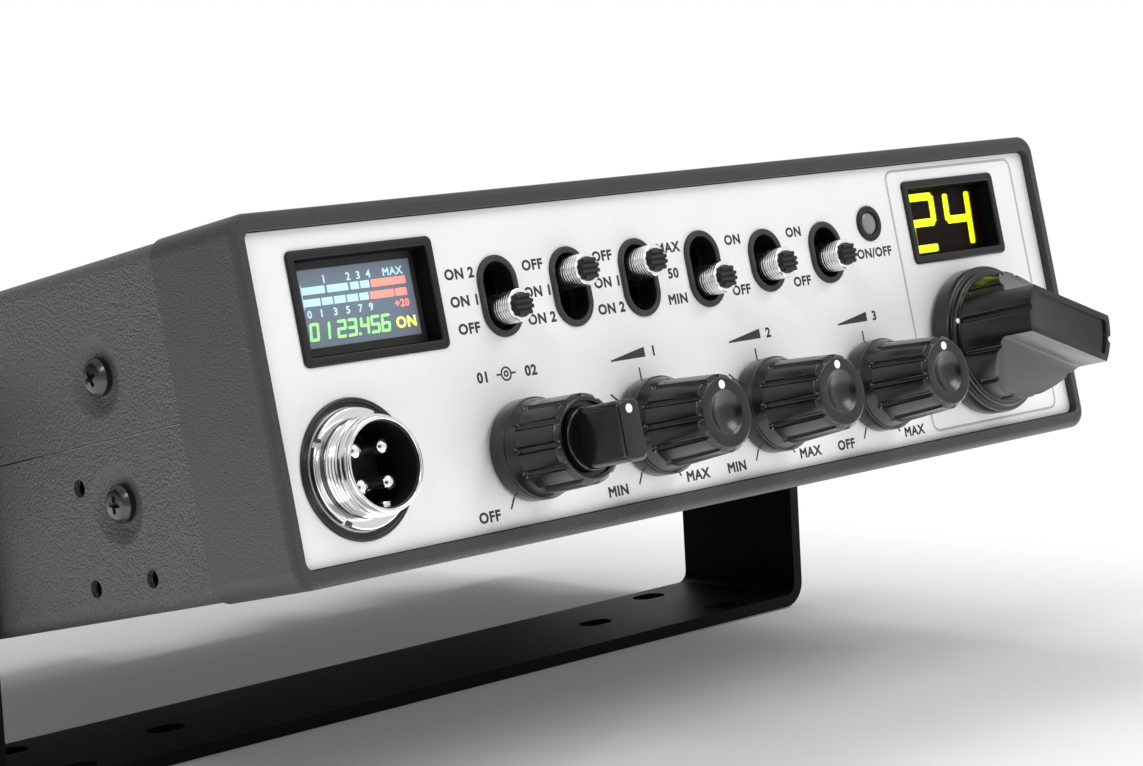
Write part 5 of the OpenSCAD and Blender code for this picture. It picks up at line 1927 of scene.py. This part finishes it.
@dataclass(frozen=True)
class ChannelKnob:
    """The large knob: a stepped skirt and a barrel cut away on a slant beside its bar."""

    skirt_r: float = 14.0
    lift: float = 0.5
    step_z: float = 4.4
    collar_z: float = 5.5
    collar_w: float = 0.9
    barrel_r: float = 12.1
    bar_w: float = 9.0
    front: float = 22.2
    root_z: float = 15.5
    rim_z: float = 8.5
    rim: float = 1.2
    recess: float = 0.6
    turn: float = -21.0
    grooves: int = 12
    groove_r: float = 0.65
    soft: float = 0.28
    dot_r: float = 0.5
    bore_r: float = 3.02
    bore_end: float = 8.0

    def turned(self) -> Shape:
        """The plain turned body: skirt, collar and barrel.

        Returns:
            A shape in local millimetres.
        """
        collar, bore, bore_end = self.barrel_r + self.collar_w, self.bore_r, self.front - self.bore_end
        profile = fillet(
            [
                (0, bore_end, 0), (bore, bore_end, 0), (bore, self.lift, 0), (self.skirt_r, self.lift, 0.3),
                (self.skirt_r, self.step_z, 0.35), (collar, self.step_z + 0.05, 0.15), (collar, self.collar_z, 0.3),
                (self.barrel_r, self.collar_z + 0.05, 0.15), (self.barrel_r, self.front, 0), (0, self.front, 0),
            ],
            False, 4,
        )
        return Shape().revolve(profile, 120)

    def groove_cutter(self) -> Shape:
        """Round-ended grooves along the barrel.

        Returns:
            A shape in local millimetres.
        """
        start = self.collar_z + 0.3
        profile = [(0, start), (0.7 * self.groove_r, start + 0.25), (self.groove_r, start + self.groove_r),
                   (self.groove_r, self.front + 1), (0, self.front + 1)]
        shape = Shape()
        for k in range(self.grooves):
            turn = Matrix.Rotation(2 * math.pi * k / self.grooves, 4, "Z")
            shape.take(Shape().revolve(profile, 20), turn @ shift(self.barrel_r, 0, 0))
        return shape

    def slant_cutter(self) -> Shape:
        """What is cut away on a slant on both sides of the bar.

        Returns:
            A shape in local millimetres.
        """
        half, far = self.bar_w / 2, self.barrel_r + 3
        slope = (self.rim_z - self.root_z) / (self.barrel_r - half)
        section = fillet(
            [(half, self.front + 1, 0), (half, self.root_z, 1.6), (far, self.root_z + slope * (far - half), 0),
             (far, self.front + 1, 0)],
            True, 6,
        )
        shape = Shape()
        for sign in (-1, 1):
            shape.rings([[(x, sign * y, z) for y, z in section] for x in (-far, far)])
        return shape

    def front_cutter(self) -> Shape:
        """The shallow recess in the bar's front.

        Returns:
            A shape in local millimetres.
        """
        reach, half = self.barrel_r - self.rim, self.bar_w / 2 - self.rim
        wide = math.asin(half / reach)
        arc = [wide * (2 * k / 12 - 1) for k in range(13)]
        outline = [(reach * math.cos(start + a), reach * math.sin(start + a)) for start in (0.0, math.pi) for a in arc]
        return Shape().prism(outline, self.front - self.recess, self.front + 1)

    def build(self) -> None:
        """Builds the knob and its mark."""
        shape = self.turned().minus(self.groove_cutter()).minus(self.slant_cutter()).minus(self.front_cutter())
        bmesh.ops.remove_doubles(shape.bm, verts=shape.bm.verts, dist=0.004)
        shape.bevel(self.soft, 3, 40, lambda edge: min(vert.co.z for vert in edge.verts) > self.collar_z + 0.4)
        centre = PANEL.axis_point("channel_turn")
        place = at(centre.x, centre.y, 0, self.turn)
        shape.piece("channel_knob_moulding", "channel", Coat.KNOB, "knob_plastic", ["channel_knob"], place, 32)
        r = self.dot_r
        dot = Shape().revolve([(0, -0.1), (r, -0.1), (r, 0.1), (0.6 * r, 0.25), (0, 0.3)], 32)
        spot = place @ shift(-self.barrel_r - 0.3, 0, self.collar_z)
        dot.piece("channel_knob_mark", "channel", Coat.WHITE_INK, "white_insulator", matrix=spot)


@dataclass(frozen=True)
class Print:
    """Generic words, figures, signs and scale marks on the faceplate."""

    lift: float = 0.012
    cap: float = 1.7
    title_y: float = -1.2
    low_y: float = -23.4
    row_up: float = 4.5
    word_left: float = 7.9
    mark_r: float = 9.3
    mark: tuple[float, float, float] = (0.34, 2.2, 0.02)
    ink_t: float = 0.02
    field_x: tuple[float, float] = (55.6, 94.4)
    field_y: tuple[float, float] = (-24.6, 25.1)
    field_line: float = 0.45
    field_corner: float = 2.0
    ring_radii: tuple[float, float] = (1.2, 0.55)
    line: float = 0.3
    slot_words: tuple[tuple[str, ...], ...] = (
        ("ON 2", "ON 1", "OFF"), ("OFF", "ON 1", "ON 2"), ("OFF", "ON 1", "ON 2"), ("MAX", "50", "MIN"), ("ON", "OFF"),
        ("ON", "OFF"),
    )

    def word(self, text: str, x: float, y: float) -> Shape:
        """One word about a place on the panel."""
        return LETTERING.mesh(text, self.cap, 0.042).move(shift(x, y, self.lift))

    def marks(self, joint: str, angles: Sequence[float]) -> Shape:
        """Scale marks round a knob, by clockwise angles from the top.

        Args:
            joint: the knob's joint.
            angles: even angles in degrees.
        Returns:
            The marks on the panel.
        """
        centre = PANEL.axis_point(joint)
        step = math.radians(angles[1] - angles[0]) if len(angles) > 1 else 0.0
        mesh = tick_tree().mesh(Coat.INK, {
            "Count": len(angles), "First": math.radians(angles[0]), "Step": step, "Radius": self.mark_r,
            "Size": self.mark,
        })
        return Shape().take_mesh(mesh, shift(centre.x, centre.y, self.lift))

    def wedge(self, x: float, y: float) -> Shape:
        """A rising wedge, the common sign for a level control."""
        outline = [(4.2, -0.85), (4.2, 0.85), (-4.2, -0.6), (-4.2, -0.85)]
        return Shape().prism(outline, 0, self.ink_t).move(shift(x, y, self.lift))

    def rings(self, x: float, y: float) -> Shape:
        """Two circles, one inside the other, and a line to each side, for the double control.

        Args:
            x: the sign's middle.
            y: its height on the panel.
        Returns:
            The sign on the panel.
        """
        shape = Shape()
        for outer in self.ring_radii:
            inner = outer - self.line
            shape.take(Shape().revolve([(inner, 0), (outer, 0), (outer, self.ink_t), (inner, self.ink_t)], 48, True))
        for side in (-1, 1):
            shape.box((side * 1.65 - 0.5, -self.line / 2, 0), (side * 1.65 + 0.5, self.line / 2, self.ink_t))
        return shape.move(shift(x, y, self.lift))

    def outline(self) -> None:
        """Builds the thin grey line round the channel control."""
        (left, right), (low, high), thick = self.field_x, self.field_y, self.field_line
        w, h = right - left, high - low
        rings = []
        for inset, z in [(0, 0), (0, self.ink_t), (thick, self.ink_t), (thick, 0)]:
            corners = rounded_rectangle(w - 2 * inset, h - 2 * inset, self.field_corner - inset)
            rings.append([(x, y, z) for x, y in corners])
        shape = Shape().rings(rings, around=True)
        place = at((left + right) / 2, (low + high) / 2, self.lift)
        shape.piece("panel_grey_outline", "radio", Coat.GREY_INK, "black_plastic", matrix=place)

    def knob_signs(self) -> Shape:
        """The signs, words and marks round the small knobs.

        Returns:
            The printing on the panel.
        """
        ink = Shape()
        for number, knob in enumerate(Knob):
            joint = knob.value[1]
            x = PANEL.axis_point(joint).x
            if knob is Knob.VOLUME:
                ink.take(self.rings(x - 1.0, self.title_y))
                ink.take(self.word("01", x - 6.4, self.title_y)).take(self.word("02", x + 4.6, self.title_y))
            else:
                ink.take(self.wedge(x - 2.2, self.title_y)).take(self.word(str(number), x + 4.2, self.title_y))
                ink.take(self.word("MAX", x + 9.4, self.low_y))
            ink.take(self.marks(joint, [-148.0] if knob is Knob.VOLUME else [-150.0 + 50 * k for k in range(7)]))
            word = "OFF" if knob in (Knob.VOLUME, Knob.TALKBACK) else "MIN"
            ink.take(self.word(word, x - 10.4, self.low_y))
        return ink

    def build(self) -> None:
        """Builds all printing."""
        ink = self.knob_signs()
        for words, (x, y, _) in zip(self.slot_words, Switches().slot_places()):
            for k, text in enumerate(words):
                up = self.row_up * (1 - 2 * k / (len(words) - 1))
                ink.take(self.word(text, x - self.word_left, y + up))
        lamp = PANEL.centre("lamp_lens")
        ink.take(self.word("ON/OFF", lamp.x + 0.2, lamp.y - 5.4))
        ink.piece("panel_printing", "radio", Coat.INK, "black_plastic", matrix=ON_PANEL)
        self.outline()


@dataclass(frozen=True)
class RearSockets:
    """The aerial socket with its thread, the power inlet and the loudspeaker jacks."""

    thread_r: float = 7.94
    crest: float = 0.24
    flange_t: float = 2.5
    length: float = 13.5
    turns: float = 9.0
    rear: float = -170.5

    def build(self) -> None:
        """Builds the rear sockets."""
        shape = cad_shape("aerial_socket").bevel(0.25 * MM, 2)
        middle = PANEL.centre("aerial_insulator")
        back = shift(middle.x, middle.y, self.rear) @ Matrix.Rotation(math.pi, 4, "Y")
        ridge = thread_tree().mesh(Coat.CHROME, {
            "Radius": self.thread_r, "Length": self.length - self.flange_t - 2.0, "Turns": self.turns,
            "Crest": self.crest,
        })
        shape.take_mesh(ridge, ON_PANEL @ back @ shift(0, 0, self.flange_t + 1.0))
        shape.piece("aerial_threaded_socket", "radio", Coat.CHROME, "chrome_plate", ["aerial_socket"], merge=1e-3,
                    flat=True)
        rounded_node("aerial_insulator", "aerial_white_insert", "radio", Coat.WHITE, "white_insulator", 0.2)
        rounded_node("power_inlet", "power_inlet_shroud", "radio", Coat.BLACK, "black_plastic", 0.3)
        rounded_node("speaker_jacks", "loudspeaker_jacks", "radio", Coat.BLACK, "black_plastic", 0.25)


# Stage


@dataclass(frozen=True)
class Softbox:
    """One soft lamp over the stage."""

    name: str
    place: tuple[float, float, float]
    aim: tuple[float, float, float]
    size: tuple[float, float]
    power: float

    def build(self) -> None:
        """Adds the lamp."""
        light = bpy.data.lights.new(self.name, "AREA")
        light.shape = "RECTANGLE"
        light.size, light.size_y = self.size
        light.energy = self.power
        made = bpy.data.objects.new(self.name, light)
        made.location = self.place
        way = Vector(self.aim) - Vector(self.place)
        made.rotation_euler = way.to_track_quat("-Z", "Y").to_euler()
        link(made)


def stage_sheet(name: str, corners: Sequence[Sequence[float]], material: bpy.types.Material) -> bpy.types.Object:
    """Adds a flat sheet to the stage.

    Args:
        name: the object's name.
        corners: its four corners in metres.
        material: its material.
    Returns:
        The object.
    """
    mesh = bpy.data.meshes.new(name)
    mesh.from_pydata(corners, [], [(0, 1, 2, 3)])
    mesh.materials.append(material)
    made = bpy.data.objects.new(name, mesh)
    link(made)
    return made


@dataclass(frozen=True)
class Stage:
    """Pale floor, soft light and the camera of the photo."""

    camera_at: tuple[float, float, float] = (-0.38720, -0.44173, 0.12256)
    forward: tuple[float, float, float] = (0.7019, 0.7037, -0.1101)
    up: tuple[float, float, float] = (0.1163, 0.0393, 0.9924)
    lens: float = 95.5
    sensor: float = 36.0
    floor_size: float = 12.0
    floor_colour: Colour = (0.88, 0.88, 0.88)
    ambient: float = 0.4
    footprint: float = 0.1
    # strength of the floor's white glow near the object: painted light that lightens the object's shadow on the floor
    floor_haze: float = 0.1
    fade: tuple[float, float] = (0.01, 0.1)
    floor_drop: float = 0.0004
    card_colour: Colour = (0.02, 0.02, 0.02)
    card_far: float = 2.4
    card_places: tuple[tuple[float, float, float], ...] = ((-20.0, 1.0, 1.2), (-135.0, 1.5, 2.4))
    lamps: tuple[Softbox, ...] = (
        Softbox("key_softbox", (-0.9, -0.5, 0.9), (0.0, 0.0, 0.05), (0.3, 0.3), 3.8),
        Softbox("top_softbox", (0.05, 0.4, 1.3), (0.0, 0.0, 0.0), (0.8, 0.6), 6.0),
        Softbox("front_softbox", (0.6, -1.05, 1.1), (0.05, -0.08, 0.05), (0.7, 0.5), 8.0),
        Softbox("side_glow", (-0.3, 0.02, 0.012), (-0.3, 0.02, 1.0), (0.36, 0.5), 1.0),
        Softbox("front_glow", (0.15, -0.21, 0.012), (0.15, -0.21, 1.0), (0.45, 0.27), 0.6),
    )

    def direct_ray(self, nodes: Nodes) -> bpy.types.NodeSocket:
        """1 for rays that are seen straight, in a mirror or through glass.

        Args:
            nodes: the tree.
        Returns:
            The socket.
        """
        path = nodes.add("ShaderNodeLightPath")
        seen = nodes.math("MAXIMUM", path.outputs["Is Camera Ray"], path.outputs["Is Glossy Ray"])
        return nodes.math("MAXIMUM", seen, path.outputs["Is Transmission Ray"])

    def floor(self) -> None:
        """Builds the floor: pale, with the object's shadow, white further out; near the object a faint white glow is
        painted light that lightens that shadow.
        """
        material = bpy.data.materials.new("stage_floor")
        nodes = tree_of(material)
        where = nodes.add("ShaderNodeTexCoord")
        split = nodes.add("ShaderNodeSeparateXYZ", Vector=where.outputs["Object"])
        outside = []
        for axis in "XY":
            past = nodes.math("SUBTRACT", nodes.math("ABSOLUTE", split.outputs[axis]), self.footprint)
            outside.append(nodes.math("POWER", nodes.math("MAXIMUM", past, 0.0), 2.0))
        length = nodes.math("SQRT", nodes.math("ADD", *outside))
        # painted light: the floor glows faintly white even in the object's shadow, which lightens it, and fades to the
        # white backdrop further out
        fade = nodes.add("ShaderNodeMapRange", {"interpolation_type": "SMOOTHSTEP"}, Value=length,
                         From_Min=self.fade[0], From_Max=self.fade[1], To_Min=self.floor_haze)
        far = nodes.math("MULTIPLY", fade.outputs["Result"], self.direct_ray(nodes))
        diffuse = nodes.add("ShaderNodeBsdfDiffuse", Color=rgba(self.floor_colour))
        white = nodes.add("ShaderNodeEmission", Color=(1, 1, 1, 1), Strength=1.0)
        mix = nodes.add("ShaderNodeMixShader", Fac=far)
        nodes.feed(mix.inputs[1], diffuse.outputs["BSDF"])
        nodes.feed(mix.inputs[2], white.outputs["Emission"])
        nodes.add("ShaderNodeOutputMaterial", Surface=mix.outputs["Shader"])
        half = self.floor_size / 2
        corners = [(-half, -half, 0), (half, -half, 0), (half, half, 0), (-half, half, 0)]
        stage_sheet("stage_floor", corners, material).location.z = -self.floor_drop

    def world(self) -> None:
        """Sets a white backdrop and an even ambient light."""
        world = bpy.data.worlds.new("studio")
        bpy.context.scene.world = world
        nodes = tree_of(world)
        seen = self.direct_ray(nodes)
        strength = nodes.add("ShaderNodeMapRange", Value=seen, To_Min=self.ambient, To_Max=1.0)
        back = nodes.add("ShaderNodeBackground", Color=(1, 1, 1, 1), Strength=strength.outputs["Result"])
        nodes.add("ShaderNodeOutputWorld", Surface=back.outputs["Background"])

    def cards(self) -> None:
        """Stands dark cards far out beside the stage, which glossy pieces mirror."""
        material = bpy.data.materials.new("stage_card")
        nodes = tree_of(material)
        dark = nodes.add("ShaderNodeBsdfDiffuse", Color=rgba(self.card_colour))
        clear = nodes.add("ShaderNodeBsdfTransparent")
        path = nodes.add("ShaderNodeLightPath")
        mix = nodes.add("ShaderNodeMixShader", Fac=path.outputs["Is Camera Ray"])
        nodes.feed(mix.inputs[1], dark.outputs["BSDF"])
        nodes.feed(mix.inputs[2], clear.outputs["BSDF"])
        nodes.add("ShaderNodeOutputMaterial", Surface=mix.outputs["Shader"])
        for number, (turn, half, top) in enumerate(self.card_places):
            away = spin(turn) @ shift(0, -self.card_far, 0)
            corners = [(-half, 0, 0), (half, 0, 0), (half, 0, top), (-half, 0, top)]
            stage_sheet(f"stage_card_{number}", [away @ Vector(corner) for corner in corners], material)

    def camera(self) -> None:
        """Sets the camera."""
        data = bpy.data.cameras.new("photo_camera")
        data.lens, data.sensor_width, data.sensor_fit = self.lens, self.sensor, "HORIZONTAL"
        data.clip_start, data.clip_end = 0.01, 50.0
        made = bpy.data.objects.new("photo_camera", data)
        back = -Vector(self.forward).normalized()
        right = Vector(self.up).cross(back).normalized()
        up = back.cross(right)
        turn = Matrix((right, up, back)).transposed().to_4x4()
        turn.translation = self.camera_at
        made.matrix_world = turn
        link(made)
        bpy.context.scene.camera = made

    def build(self) -> None:
        """Builds the stage."""
        scene = bpy.context.scene
        scene.view_settings.view_transform = "Standard"
        self.floor()
        self.world()
        self.cards()
        for lamp in self.lamps:
            lamp.build()
        self.camera()


def dress_nodes() -> None:
    """Gives every CAD node a procedural finish by its material slot."""
    slots = {part["node"]: part["material_slot"] for part in frame["record"]["subparts"]}
    for name, made in frame["nodes"].items():
        for slot in made.material_slots:
            slot.material = SLOT_COATS[slots[name]].value.material()
    LOG.info("%d nodes dressed", len(frame["nodes"]))


def main() -> None:
    """Builds every sub-assembly in order."""
    logging.basicConfig(level=logging.INFO, format="%(name)s: %(message)s")
    dress_nodes()
    for part in (Stand(), Case(), Screws(), Displays(), Switches(), Lamp(), MicSocket(), SmallKnobs(), ChannelKnob(),
                 Print(), RearSockets(), Stage()):
        part.build()
        LOG.info("%s done", type(part).__name__)


if __name__ == "__main__":
    main()
